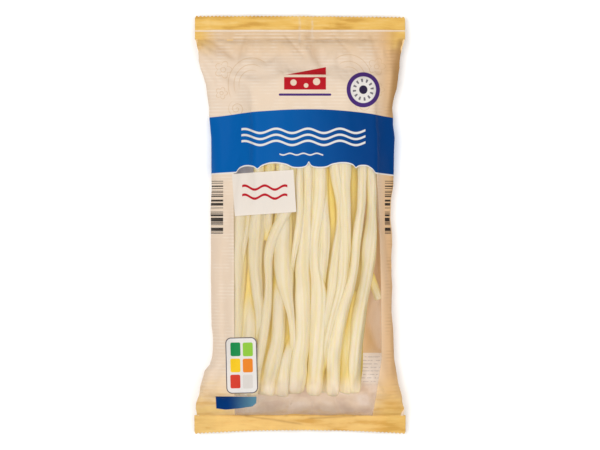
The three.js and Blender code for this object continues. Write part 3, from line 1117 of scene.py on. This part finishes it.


# %% [markdown]
# ## The front print
# From the bottom up: cream with a golden fade at both ends and fine lines, faint ornament, bars at the
# sides, a blue band with a scalloped lower edge, and a few small shapes. Everything below the scallops
# and between the window's side edges stays clear, apart from the white label. The shapes stand for what
# such a pack prints, but hold no words and no marks.
#
# The ground comes first, and the back shares it. Light falls less on the right side and near the top seal,
# so painted shade turns the cream warmer and darker there, with brown lines and a brown edge at the right.
# The gold carries painted light and shade in streaks, because the seals are creased, and the fin behind the
# top seal shows as two pale creases. Shade falls in the side fold at the top right and in the folds of the
# bottom seal, and film that is doubled in a gather lets less light back, so each of them is a soft brown
# line of painted shade. A painted highlight runs along the edge under the top seal.

# %% Cream, gold and fine lines
CREAM, PALE_CREAM, RIGHT_SHADE_CREAM = ink("E6D2BC"), ink("F0E4D6"), ink("DDB27C")
GOLD, GOLD_SHADE, GOLD_LIGHT = ink("E8BD64"), ink("CE9C48"), ink("F0CC80")
TAN, TOP_SHADE_CREAM, SHADE_BROWN, WHITE = ink("CFAE84"), ink("DAB98E"), ink("A57C4A"), ink("E4E0DC")
LINE_PITCH = 2.0
GOLD_TOP, SEAL_EDGE_HIGHLIGHT = (117.0, 117.4), 116.4
SIDE_FOLD = (54.5, 69), (60.5, 111)
FIN_CREASES = (-0.2, 7.4)
SEAL_FOLDS = [((-34, -114.4), (-16, -116.8)), ((-18, -116.4), (2, -119.6)), ((4, -116), (34, -114.6))]
FOLD_LINE, FOLD_BLUR, FOLD_SHARE, FOLD_START = 0.7, 0.6, 0.13, 1.5


def seal_line(board):
    """Distance above the bottom seal's inner edge, which waves a little."""
    return board.plus(board.y, board.times_plus(board.noise(19, 1), 5.0, 111.2))


def gold_share(board):
    """Where the ground is gold: both seals, the top corners, and the foot, most of all at its sides."""
    out = board.size(board.x)
    uneven = board.times_plus(board.noise(16, 2), 8.0, board.y)
    corner = board.both(board.ramp(out, 48, 62), board.ramp(uneven, 104, 116), 0.95)
    near_foot = board.both(board.ramp(uneven, -80, -116), board.ramp(out, 26, 54, 0.35, 0.85))
    seals = board.most(board.ramp(board.y, *GOLD_TOP), board.ramp(seal_line(board), -0.2, 0.2, 0.85, 0))
    return uneven, board.most(seals, board.most(corner, near_foot))


def paint_ground(board):
    """The cream field that all sides of the film share, gold towards both ends, with painted light and
    shade.
    """
    uneven, gold = gold_share(board)
    lines = board.both(board.ramp(board.wave(board.y, LINE_PITCH), -0.4, 1),
                       board.ramp(board.noise(9, 2), 0.35, 0.7, 0, 0.5))
    # Painted shade: brown at the right edge, where the bag curves away from the light.
    right_edge_shade = board.both(board.ramp(board.x, 53, 56.5, 0, 0.45), board.ramp(board.y, -98, -84))
    # Painted light and shade in the creased seals: darker and lighter streaks of gold.
    seal_light_and_shade = board.noise(8, 4, (0.4, 2.2, 1.0))
    # Painted shadow in the side fold at the top right.
    side_fold_shade = board.both(board.ramp(board.side(*SIDE_FOLD), 3.5, 0.0), board.ramp(board.y, 52, 74),
                           board.ramp(board.y, 114, 109), 0.75)
    # Painted shade darkens the cream towards the top seal and warms it towards the right, with brown lines
    # there.
    colour = CREAM
    for paint, share in ((TOP_SHADE_CREAM, board.ramp(uneven, 96, 119, 0, 0.75)),
                         (PALE_CREAM, lines),
                         (RIGHT_SHADE_CREAM, board.ramp(board.x, 40, 55, 0, 0.8)),
                         (SHADE_BROWN, board.both(lines, board.ramp(board.x, 48, 54, 0, 0.6))),
                         (SHADE_BROWN, right_edge_shade),
                         (GOLD, gold),
                         (GOLD_SHADE, board.both(gold, board.ramp(seal_light_and_shade, 0.48, 0.68, 0, 0.85))),
                         (GOLD_LIGHT, board.both(gold, board.ramp(seal_light_and_shade, 0.5, 0.32, 0, 0.85))),
                         (SHADE_BROWN, side_fold_shade)):
        colour = board.lay(colour, paint, share)
    return paint_seal_creases(board, colour)


def paint_seal_creases(board, colour):
    """Painted shade in the folds of the bottom seal, two pale creases in the top one, and a painted
    highlight under it.
    """
    for start, end in SEAL_FOLDS:
        fold = board.both(board.line(board.side(start, end), 0.6, 0.9),
                          board.ramp(board.x, start[0] - 1, start[0] + 3),
                          board.ramp(board.x, end[0] + 1, end[0] - 3), board.ramp(board.y, -105, -112))
        # Painted shade in each fold of the bottom seal.
        colour = board.lay(colour, SHADE_BROWN, board.both(fold, 0.6))
    for x in FIN_CREASES:
        crease = board.both(board.line(board.minus(board.x, x), 1.0, 0.9), board.ramp(board.y, 104, 112))
        patchy = board.ramp(board.noise(3, 2), 0.35, 0.65, 0.05, 0.4)
        colour = board.lay(colour, WHITE, board.both(crease, patchy))
    # A painted highlight along the edge of the top seal.
    return board.lay(colour, PALE_CREAM, board.both(board.line(board.minus(board.y, SEAL_EDGE_HIGHLIGHT), 0.7), 0.8))


def paint_fold_shade(board, colour):
    """A soft brown line of painted shade in each gather."""
    for x0, y0, x1, y1, depth, width in GATHERS:
        line = board.line(board.side((x0, y0), (x1, y1)), width * FOLD_LINE, width * FOLD_BLUR)
        fade = board.ramp(board.y, y1, (y0 + y1) / 2, 0, FOLD_SHARE * depth)
        edge = board.ramp(board.y, y0 + math.copysign(FOLD_START, y0), y0)
        colour = board.lay(colour, SHADE_BROWN, board.both(line, fade, edge))
    return colour


# %% [markdown]
# Faint tan ornament fills the cream on both sides: a shell of nested arcs, a scroll and two flowers, as
# folk painters use, so it is no one's own. The bars at the sides stand for a bar code. They come from a
# noise that is one number for each step along the pack, so they have uneven widths and say nothing.

# %% Ornament and side bars
BLACK = ink("2B2624")
BAR_MODULE, BAR_SHARE = 0.4, 0.46
THIN = 0.45
SHELL_ARCS = (7.5, 10.5, 14.0)
ORNAMENT_SHARE = 0.55


def scroll(board, x, y, size, pitch, turn):
    """A spiral line that winds out from its middle, as in old carved and painted borders."""
    across, up = board.minus(board.x, x), board.minus(board.y, y)
    reach = board.reach(across, up)
    angle = board.times(board.maths("ARCTAN2", up, across), turn / (2 * math.pi))
    winding = board.maths("FRACT", board.plus(board.over(reach, pitch), angle))
    line = board.line(board.times(board.minus(winding, 0.5), pitch), THIN)
    return board.both(line, board.fill(board.minus(size, reach), 0.5))


def rosette(board, x, y, size):
    """The outline of a five-petalled flower with a ring in its middle."""
    across, up = board.minus(board.x, x), board.minus(board.y, y)
    reach = board.reach(across, up)
    petals = board.size(board.maths("COSINE", board.times(board.maths("ARCTAN2", up, across), 2.5)))
    outline = board.minus(board.times_plus(petals, 0.4 * size, 0.6 * size), reach)
    return board.most(board.line(outline, THIN), board.line(board.minus(0.28 * size, reach), 0.4))


def paint_ornament(board, colour, x, y, turn):
    """The shell, scroll and flowers round one point; turn is -1 for their mirror image."""
    reach = board.side((x - 20 * turn, y - 14), (x + 14 * turn, y + 20))
    if turn < 0:
        reach = board.times(reach, -1)
    marks = board.most(scroll(board, x - 9 * turn, y - 14.5, 5.0, 2.4, turn),
                       rosette(board, x - 17 * turn, y + 9, 5.2), rosette(board, x - 18 * turn, y - 5, 3.6))
    for radius in SHELL_ARCS:
        arc = board.line(board.ellipse(x, y, radius, radius * 1.15), THIN)
        marks = board.most(marks, board.both(arc, board.fill(reach, 2.5)))
    return board.lay(colour, TAN, board.both(marks, ORNAMENT_SHARE))


def paint_bars(board, colour, x0, x1, y0, y1):
    """Dark bars of uneven width, one above the other."""
    field = board.fill(board.box((x0 + x1) / 2, (y0 + y1) / 2, (x1 - x0) / 2, (y1 - y0) / 2), 0.1)
    random_bar = board.tree.nodes.new("ShaderNodeTexWhiteNoise")
    random_bar.noise_dimensions = "1D"
    step = board.maths("FLOOR", board.over(board.y, BAR_MODULE))
    board.tree.links.new(step, random_bar.inputs["W"])
    bars = board.maths("GREATER_THAN", random_bar.outputs["Value"], BAR_SHARE)
    return board.lay(colour, BLACK, board.both(field, bars, 0.96))


# %% [markdown]
# The band's upper edge is a long bow, and its lower edge is a row of scallops with cusps between them.
# Both are drawn: a Float Curve node goes through a few points, smoothly or with a sharp corner,
# and gives a height for each x. The window is a polygon, a little narrower at the foot.

# %% The window and the band
BLUE, DEEP_BLUE, DULL_BLUE = ink("005CA8"), ink("003474"), ink("5A8AA0")
BAND_TOP = [(-70, 63.6), (-53.3, 64.6), (-24, 67.8), (7.9, 69.0), (32, 67.6), (56.3, 64.2), (70, 62.6)]
SCALLOPS = [(-70, 29.6, 1), (-38.1, 31.4, 1), (-34.8, 34.7), (-31.5, 35.4), (-28.4, 35.0),
            (-25.5, 33.2, 1), (-21, 36.1), (-15.9, 37.1), (-9, 36.3), (-2.7, 34.2), (2.2, 34.5),
            (5.2, 37.8, 1), (8.4, 34.6), (14.1, 34.4), (20, 36.4), (26.3, 37.1), (30.6, 36.3),
            (33.3, 34.0, 1), (35.6, 35.3), (38.3, 35.5), (42, 34.2), (45, 31.0, 1), (70, 28.2, 1)]
WINDOW = [(-39.6, 60), (-39.0, -114.6), (43.4, -114.6), (45.7, -99.9), (49.3, -76.8), (48.3, -35.4),
          (47.9, -5.4), (45.7, 30.3), (43.9, 60)]
OUTLINE = 0.75


def drawn_height(board, points, low, high):
    """The height of a drawn line above each x. A third number marks a sharp corner."""
    curve = board.tree.nodes.new("ShaderNodeFloatCurve")
    left, right = points[0][0], points[-1][0]
    line = curve.mapping.curves[0]
    for number, (x, y, *sharp) in enumerate(points):
        spot = ((x - left) / (right - left), (y - low) / (high - low))
        if 0 < number < len(points) - 1:
            knot = line.points.new(*spot)
        else:
            knot = line.points[0 if number == 0 else -1]
            knot.location = spot
        knot.handle_type = "VECTOR" if sharp else "AUTO"
    curve.mapping.update()
    share = board.over(board.minus(board.x, left), right - left)
    board.tree.links.new(share, curve.inputs["Value"])
    return board.times_plus(curve.outputs[0], high - low, low)


# %% [markdown]
# In the places of words and badges there are plain shapes: a cut cheese with holes, wavy lines like
# strings that lie side by side, a roundel with ticks, and a card with six coloured squares.

# %% Small shapes
RED, PLUM, NIGHT = ink("B81A26"), ink("4A2E74"), ink("2C2340")
LABEL_WHITE = ink("E6DDD3")
CHIPS = [ink(code) for code in ("1E8A4C", "8FC642", "F2C728", "E8862B", "D2412F", "D8D2CC")]
WEDGE_HOLES = ((-5.5, -1.6, 1.5), (0.5, -3.0, 1.1), (5.5, -1.2, 1.7))
CARD, CARD_SIZE, CARD_COVER = (-34.8, -83.7), (8.9, 16.2, 3.0, 1.5), (9.4, 16.7, 3.4, 1.5)
CARD_OUTLINE = 0.5


def paint_wedge(board, colour, x, y, size):
    """A plain pictogram of a cut cheese: a slab with holes under a slanted top."""
    def at(*places):
        return [(x + across * size, y + up * size) for across, up in places]

    slab = board.polygon(at((-10, -5), (10, -5), (10, 1), (-10, 1)))
    top = board.polygon(at((-9, 2.2), (10, 2.2), (10, 6)))
    colour = board.lay(colour, RED, board.fill(board.most(slab, top)))
    for hole_x, hole_y, radius in WEDGE_HOLES:
        hole = board.ellipse(*at((hole_x, hole_y))[0], radius * size, radius * size)
        colour = board.lay(colour, CREAM, board.fill(hole))
    plate = board.box(x, y - 7.4 * size, 12.5 * size, 0.55 * size, 0.5 * size)
    return board.lay(colour, PLUM, board.fill(plate))


def wavy_lines(board, x, y, half_width, count, pitch, width, swing, length):
    """A few parallel waves, like strings lying side by side."""
    level = board.minus(board.y, board.times(board.wave(board.x, length), swing))
    offsets = [(number - (count - 1) / 2) * pitch for number in range(count)]
    waves = board.most(*[board.line(board.minus(level, y + offset), width) for offset in offsets])
    return board.both(waves, board.fill(board.minus(half_width, board.size(board.minus(board.x, x)))))


def paint_roundel(board, colour, x, y, radius):
    """A white disc with a plum ring, a ring of ticks and a dark middle."""
    colour = board.lay(colour, PLUM, board.fill(board.ellipse(x, y, radius, radius * 1.06)))
    colour = board.lay(colour, WHITE, board.fill(board.ellipse(x, y, radius * 0.76, radius * 0.8)))
    angle = board.maths("ARCTAN2", board.minus(board.y, y), board.minus(board.x, x))
    ticks = board.ramp(board.maths("SINE", board.times(angle, 12)), 0.2, 0.5)
    ring = board.line(board.ellipse(x, y, radius * 0.53, radius * 0.56), radius * 0.2)
    colour = board.lay(colour, NIGHT, board.both(ticks, ring, 0.8))
    return board.lay(colour, NIGHT, board.fill(board.ellipse(x, y, radius * 0.25, radius * 0.26)))


def paint_chips(board, colour, x, y):
    """A white card with an outline and six coloured squares in two columns."""
    card = board.box(x, y, *CARD_SIZE)
    colour = board.lay(colour, NIGHT, board.fill(board.plus(card, CARD_OUTLINE)))
    colour = board.lay(colour, WHITE, board.fill(card))
    for number, chip in enumerate(CHIPS):
        row, column = divmod(number, 2)
        square = board.box(x + (column - 0.5) * 7.4, y + (1 - row) * 9.6, 3.0, 4.1, 1.0, 1.5)
        colour = board.lay(colour, chip, board.fill(square))
    return colour


# %% [markdown]
# Now all of it is laid on the ground, from the bottom up. The group also gives two masks. Clear says
# where the film has no ink: inside the window, below the scallops and above the bottom seal, but not
# under the label, the card and the ribbon. Haze says how milky the clear film is. It is strongest where
# the film hangs slack: at the foot, low down beside the strings, and in one fold at the right.

# %% Put the front print together
SLACK_FOLD = [(40, -57), (46.5, -74), (49.5, -75), (48.5, -44), (43.5, -34)]
RIBBON = [(-50.1, -109.8), (-44.7, -110.5), (-35.7, -109.7), (-28.5, -108.4), (-26.1, -106.4),
          (-25.9, -102.4), (-50.4, -102.3)]
FOOT_HAZE, SIDE_HAZE = 0.18, 0.15
ORNAMENTS = ((-29, 84, 1), (29, 86, -1))
BAR_FIELDS = ((-53.9, -45.9, -5.4, 27.6), (50.8, 58.6, -6.0, 27.0))
BAND_WAVES = (2.0, 52.5, 37.0, 3, 3.6, 1.3, 1.3, 19.0)
SMALL_WAVE = (0.8, 42.2, 13.0, 1, 1, 0.8, 0.5, 8.0)
LABEL, LABEL_WAVES = (-21.4, 19.1, 18.4, 12.6, 0.4, 3.9), (-21.0, 19.6, 13.5, 2, 5.4, 1.5, 1.2, 12.0)
WEDGE, ROUNDEL = (3.0, 87.0, 1.25), (37.8, 80.8, 10.0)


def film_haze(board):
    """How milky the clear film is: a little in patches, and more where it hangs slack."""
    uneven = board.times_plus(board.noise(9, 2), 9.0, board.y)
    foot = board.ramp(uneven, -101, -86, FOOT_HAZE, 0)
    beside = board.both(board.ramp(board.x, 37, 42), board.ramp(board.y, -70, -84), SIDE_HAZE)
    fold = board.both(board.fill(board.polygon(SLACK_FOLD), 2.5), SIDE_HAZE)
    return board.plus(board.most(foot, beside, fold), board.ramp(board.noise(11, 3), 0.35, 0.8, 0.01, 0.035))


def draw_front():
    board = Drawing("front_print", {"Colour": "Color", "Clear": "Float", "Haze": "Float"})
    colour = paint_fold_shade(board, paint_ground(board))
    for ornament in ORNAMENTS:
        colour = paint_ornament(board, colour, *ornament)
    for field in BAR_FIELDS:
        colour = paint_bars(board, colour, *field)
    scallop = board.minus(drawn_height(board, SCALLOPS, 20, 50), board.y)
    band = board.fill(board.minus(drawn_height(board, BAND_TOP, 60, 75), board.y))
    label = board.fill(board.box(*LABEL))
    card = board.fill(board.box(*CARD, *CARD_COVER))
    ribbon = board.fill(board.polygon(RIBBON))
    for paint, share in (
            (board.lay(BLUE, DEEP_BLUE, board.ramp(board.x, -25, 50, 0, 0.85)),
             board.without(band, board.fill(scallop))),
            (WHITE, wavy_lines(board, *BAND_WAVES)),
            (WHITE, wavy_lines(board, *SMALL_WAVE)),
            (WHITE, board.line(scallop, OUTLINE)),
            (LABEL_WHITE, label),
            (RED, wavy_lines(board, *LABEL_WAVES)),
            (board.lay(DEEP_BLUE, DULL_BLUE, board.ramp(board.x, -44, -25)), ribbon)):
        colour = board.lay(colour, paint, share)
    colour = paint_wedge(board, colour, *WEDGE)
    colour = paint_roundel(board, colour, *ROUNDEL)
    colour = paint_chips(board, colour, *CARD)
    opening = board.both(board.fill(board.polygon(WINDOW), 0.3), board.fill(seal_line(board), 0.3),
                         board.fill(board.minus(scallop, OUTLINE / 2)))
    clear = board.without(opening, board.most(label, card, ribbon))
    return board.finish(Colour=colour, Clear=clear, Haze=film_haze(board))


FRONT_PRINT = draw_front()
print("front print:", len(FRONT_PRINT.nodes), "nodes")

# %% [markdown]
# ## The back print
# The back repeats the cream, the gold ends and the band, and has a pale panel with plain ruled lines
# where a real pack has its small print. A strip of this panel can be seen through the window, beside the
# strings. The inside of the back is what shows there, so it has colours of its own: tan, and pinkish at the
# foot, with painted light and shade of soft crumples there. Light that comes through the film from all
# sides is too dim in so flat a bag, so a little glow stands for it, only under the window.

# %% Put the back print together
PANEL, RULE, INNER = ink("F6EFE8"), ink("8C8388"), ink("E8C48C")
INNER_BAND = ink("B9B9CA")
FOOT_INSIDE, FOOT_SHADE, FOOT_LIGHT = ink("E8CFB3"), ink("D2B092"), ink("F8E8DE")
DARK = (0, 0, 0, 1)
BACK_PANEL = (30.0, -88.6, 19.6, 11.8, 0.8)
RULE_PITCH = 2.1
FOOT_CREASE_SHARE = 0.7


def draw_back():
    board = Drawing("back_print", {"Colour": "Color", "Inside": "Color", "Glow": "Color"})
    band = board.both(board.ramp(board.y, 29.6, 29.9), board.ramp(board.y, 63.9, 64.2, 1, 0))
    panel = board.box(*BACK_PANEL)
    words = board.ramp(board.noise(1.6, 1), 0.42, 0.5)
    rules = board.both(board.fill(board.minus(panel, 1.2)),
                       board.ramp(board.wave(board.y, RULE_PITCH), 0.5, 0.9), words, 0.55)
    colour = board.lay(board.lay(paint_ground(board), BLUE, band), PANEL, board.fill(panel))
    foot = board.ramp(board.y, -92, -99)
    creases = board.noise(12, 1, (0.8, 1.6, 1.0))
    # Painted shade in the hollows and painted light on the ridges of the crumpled film at the foot.
    hollow_shade = board.ramp(creases, 0.48, 0.7, 0, FOOT_CREASE_SHARE)
    ridge_light = board.ramp(creases, 0.5, 0.3, 0, FOOT_CREASE_SHARE)
    inside = INNER
    for paint, share in ((PANEL, board.fill(panel)), (RULE, rules), (INNER_BAND, band), (FOOT_INSIDE, foot),
                         (FOOT_SHADE, board.both(foot, hollow_shade)), (FOOT_LIGHT, board.both(foot, ridge_light))):
        inside = board.lay(inside, paint, share)
    under_window = board.both(board.ramp(board.size(board.x), 53, 50), board.ramp(board.y, 40, 37))
    glow = board.lay(DARK, inside, under_window)
    return board.finish(Colour=board.lay(colour, RULE, rules), Inside=inside, Glow=glow)


BACK_PRINT = draw_back()
print("back print:", len(BACK_PRINT.nodes), "nodes")

# %% [markdown]
# ## Film finishes
# All of the film carries the same fine crinkles, as a bump: soft waves all over, and small sharp facets
# where it is slack, towards both seals.

# %% Fine crinkles
CRINKLE_DEPTH, CRINKLE_STRENGTH = 0.8, 0.6
FACET_SIZE = 5.0


def draw_crinkle():
    board = Drawing("film_crinkle", {"Height": "Float"})
    waves = board.times_plus(board.noise(2.2, 2), 0.18, board.noise(9, 2, (1.0, 0.55, 1.0)))
    cells = board.tree.nodes.new("ShaderNodeTexVoronoi")
    cells.feature = "F1"
    cells.inputs["Scale"].default_value = 1 / (FACET_SIZE * MM)
    board.tree.links.new(board.point, cells.inputs["Vector"])
    slack_here = board.most(board.ramp(board.y, 76, 104), board.ramp(board.y, -86, -100))
    facets = board.both(cells.outputs["Distance"], slack_here)
    return board.finish(Height=board.times_plus(facets, 0.8, waves))


CRINKLE = draw_crinkle()
print("crinkles:", len(CRINKLE.nodes), "nodes")


def use_group(tree, group):
    node = tree.nodes.new("ShaderNodeGroup")
    node.node_tree = group
    return node.outputs


def bumpy_normal(tree, height, strength, depth):
    """A bump node: depth is in millimetres."""
    bump = tree.nodes.new("ShaderNodeBump")
    bump.inputs["Strength"].default_value = strength
    bump.inputs["Distance"].default_value = depth * MM
    tree.links.new(height, bump.inputs["Height"])
    return bump.outputs["Normal"]


def start_film(name, roughness, shine):
    """The printed part of one side's material: its nodes, its main shader and its crinkled normal."""
    material = bpy.data.materials[name]
    material.use_nodes = True
    tree = material.node_tree
    printed = tree.nodes["Principled BSDF"]
    normal = bumpy_normal(tree, use_group(tree, CRINKLE)["Height"], CRINKLE_STRENGTH, CRINKLE_DEPTH)
    tree.links.new(normal, printed.inputs["Normal"])
    printed.inputs["Roughness"].default_value = roughness
    printed.inputs["Specular IOR Level"].default_value = shine
    return tree, printed, normal


# %% [markdown]
# The printed film is a satin plastic that lets a little light through. The clear film lets nearly all
# light through, mirrors a little, and has a thin milky haze. Haze and mirror together stay below a
# quarter, because above it the picture's noise filter follows the film's face and leaves the strings
# under it noisy.

# %% Front film: printed and clear
SEE_THROUGH_SHARE = 0.2
CLEAR_TINT = (0.985, 0.98, 0.97, 1)
MILK = (0.96, 0.86, 0.78, 1)
MIRROR_ROUGHNESS, FILM_IOR = 0.26, 1.42


def mix_shaders(tree, share, first, second):
    """The first shader where the share is 0, and the second where it is 1."""
    mix = tree.nodes.new("ShaderNodeMixShader")
    for value, socket in zip((share, first, second), mix.inputs):
        plug(tree, value, socket)
    return mix.outputs[0]


tree, printed, normal = start_film("printed_front", roughness=0.45, shine=0.05)
artwork = use_group(tree, FRONT_PRINT)
glow = tree.nodes.new("ShaderNodeBsdfTranslucent")
for socket in (printed.inputs["Base Color"], glow.inputs["Color"]):
    tree.links.new(artwork["Colour"], socket)
print_layer = mix_shaders(tree, SEE_THROUGH_SHARE, printed.outputs[0], glow.outputs[0])
through = tree.nodes.new("ShaderNodeBsdfTransparent")
through.inputs["Color"].default_value = CLEAR_TINT
milk = tree.nodes.new("ShaderNodeBsdfDiffuse")
milk.inputs["Color"].default_value = MILK
mirror = tree.nodes.new("ShaderNodeBsdfGlossy")
mirror.inputs["Roughness"].default_value = MIRROR_ROUGHNESS
fresnel = tree.nodes.new("ShaderNodeFresnel")
fresnel.inputs["IOR"].default_value = FILM_IOR
for node in (milk, mirror, fresnel):
    tree.links.new(normal, node.inputs["Normal"])
hazy = mix_shaders(tree, artwork["Haze"], through.outputs[0], milk.outputs[0])
clear_film = mix_shaders(tree, fresnel.outputs[0], hazy, mirror.outputs[0])
whole_film = mix_shaders(tree, artwork["Clear"], print_layer, clear_film)
tree.links.new(whole_film, tree.nodes["Material Output"].inputs["Surface"])
print("front film:", len(tree.nodes), "nodes")

# %% [markdown]
# The back film is one sheet with two looks: the print outside, and the plain inside that is seen through
# the window. The Backfacing output tells them apart, so the sheet needs no second skin.

# %% Back film
INNER_GLOW = 0.2
tree, printed, _ = start_film("printed_back", roughness=0.42, shine=0.45)
artwork = use_group(tree, BACK_PRINT)
facing_in = tree.nodes.new("ShaderNodeNewGeometry").outputs["Backfacing"]
colour = blend_colours(tree, facing_in, artwork["Colour"], artwork["Inside"])
tree.links.new(colour, printed.inputs["Base Color"])
glow = blend_colours(tree, facing_in, DARK, artwork["Glow"])
tree.links.new(glow, printed.inputs["Emission Color"])
printed.inputs["Emission Strength"].default_value = INNER_GLOW
print("back film:", len(tree.nodes), "nodes")

# %% [markdown]
# ## Cheese
# Stretched curd is pale ivory and a little see-through, so light that enters a string comes out beside it
# and deepens to yellow in the gaps. Subsurface scattering does that in part. The rest is painted light and
# shade: a string is pale where it is high up and faces the film, and golden with a faint glow where it lies
# deep or turns away. The left side has a little painted shade, and the cut ends are painted paler, for the
# light that the milky film scatters over them. Fine streaks run along each string. They are noise on the
# string's own map, which goes round it and along it.

# %% Cheese
IVORY, CREAMY, BUTTER = (0.73, 0.645, 0.48, 1), (0.71, 0.61, 0.36, 1), (0.72, 0.54, 0.08, 1)
SHADED, VEILED_END = (0.60, 0.50, 0.30, 1), (0.80, 0.68, 0.56, 1)
GAP_DROP, CREST_DROP = 4.0, 0.4
GAP_GLOW = 0.1
SIDE_LIFT = 0.85 * TOP_FALL
STREAK_STRETCH, STREAK_SCALE = (6, 1.2, 1), 3.0
STREAK_STRENGTH, STREAK_DEPTH = 0.3, 0.6
LIGHT_DEPTH = 2.2


def string_streaks(board):
    """Noise drawn out along the string, on the string's own map."""
    along_string = board.tree.nodes.new("ShaderNodeMapping")
    along_string.inputs["Scale"].default_value = STREAK_STRETCH
    board.tree.links.new(board.sources["UV"], along_string.inputs["Vector"])
    streaks = board.tree.nodes.new("ShaderNodeTexNoise")
    streaks.inputs["Scale"].default_value = STREAK_SCALE
    streaks.inputs["Detail"].default_value = 3.0
    board.tree.links.new(along_string.outputs[0], streaks.inputs["Vector"])
    return streaks.outputs[0]


def draw_cheese():
    board = Drawing("cheese_colour", {"Colour": "Color", "Glow": "Color", "Streaks": "Float"})
    streaks = string_streaks(board)
    beside = board.most(board.minus(board.size(board.x), FALL_START), 0)
    bend = board.over(beside, CONTENTS_HALF_WIDTH - FALL_START)
    level = board.times_plus(board.times(bend, bend), SIDE_LIFT, board.z)
    high_up = board.ramp(level, CREST_LEVEL - GAP_DROP, CREST_LEVEL - CREST_DROP)
    facing = board.split(board.tree.nodes.new("ShaderNodeNewGeometry").outputs["Normal"])["Z"]
    lit = board.both(high_up, board.ramp(facing, 0.0, 0.8))
    crest = board.lay(IVORY, CREAMY, board.ramp(streaks, 0.4, 0.62))
    # Painted shade on the left side.
    crest = board.lay(crest, SHADED, board.ramp(board.x, 12, -40, 0, 0.7))
    body = board.lay(BUTTER, crest, lit)
    # The cut ends are painted paler, for the light that the milky film scatters over them.
    colour = board.lay(body, VEILED_END, board.ramp(board.y, -88, -98, 0, 0.6))
    return board.finish(Colour=colour, Glow=board.lay(BUTTER, DARK, lit), Streaks=streaks)


cheese = bpy.data.materials.new("cheese")
cheese.use_nodes = True
tree = cheese.node_tree
skin = tree.nodes["Principled BSDF"].inputs
painted = use_group(tree, draw_cheese())
tree.links.new(painted["Colour"], skin["Base Color"])
tree.links.new(painted["Glow"], skin["Emission Color"])
tree.links.new(bumpy_normal(tree, painted["Streaks"], STREAK_STRENGTH, STREAK_DEPTH), skin["Normal"])
skin["Emission Strength"].default_value = GAP_GLOW
skin["Roughness"].default_value = 0.5
skin["Subsurface Weight"].default_value = 0.5
skin["Subsurface Radius"].default_value = (1.0, 0.7, 0.3)
skin["Subsurface Scale"].default_value = LIGHT_DEPTH * MM
print("cheese:", len(tree.nodes), "nodes")

# %% [markdown]
# ## Every piece rides on the one body, and the imported solid is hidden.
# Every piece rides on the one body, stands for the imported solid and names the finish that it takes.

# %% Hand over
for string in strings:
    string.data.materials.clear()
    string.data.materials.append(cheese)
finishes = [(string, "cheese") for string in strings]
finishes += [(film_piece, "printed_film") for film_piece in (bag, top_seal, bottom_seal, fin_seal)]
for piece, finish in finishes:
    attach(piece, "root")
    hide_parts("pack")
remove(straight_string)
print(len(finishes), "pieces handed over")
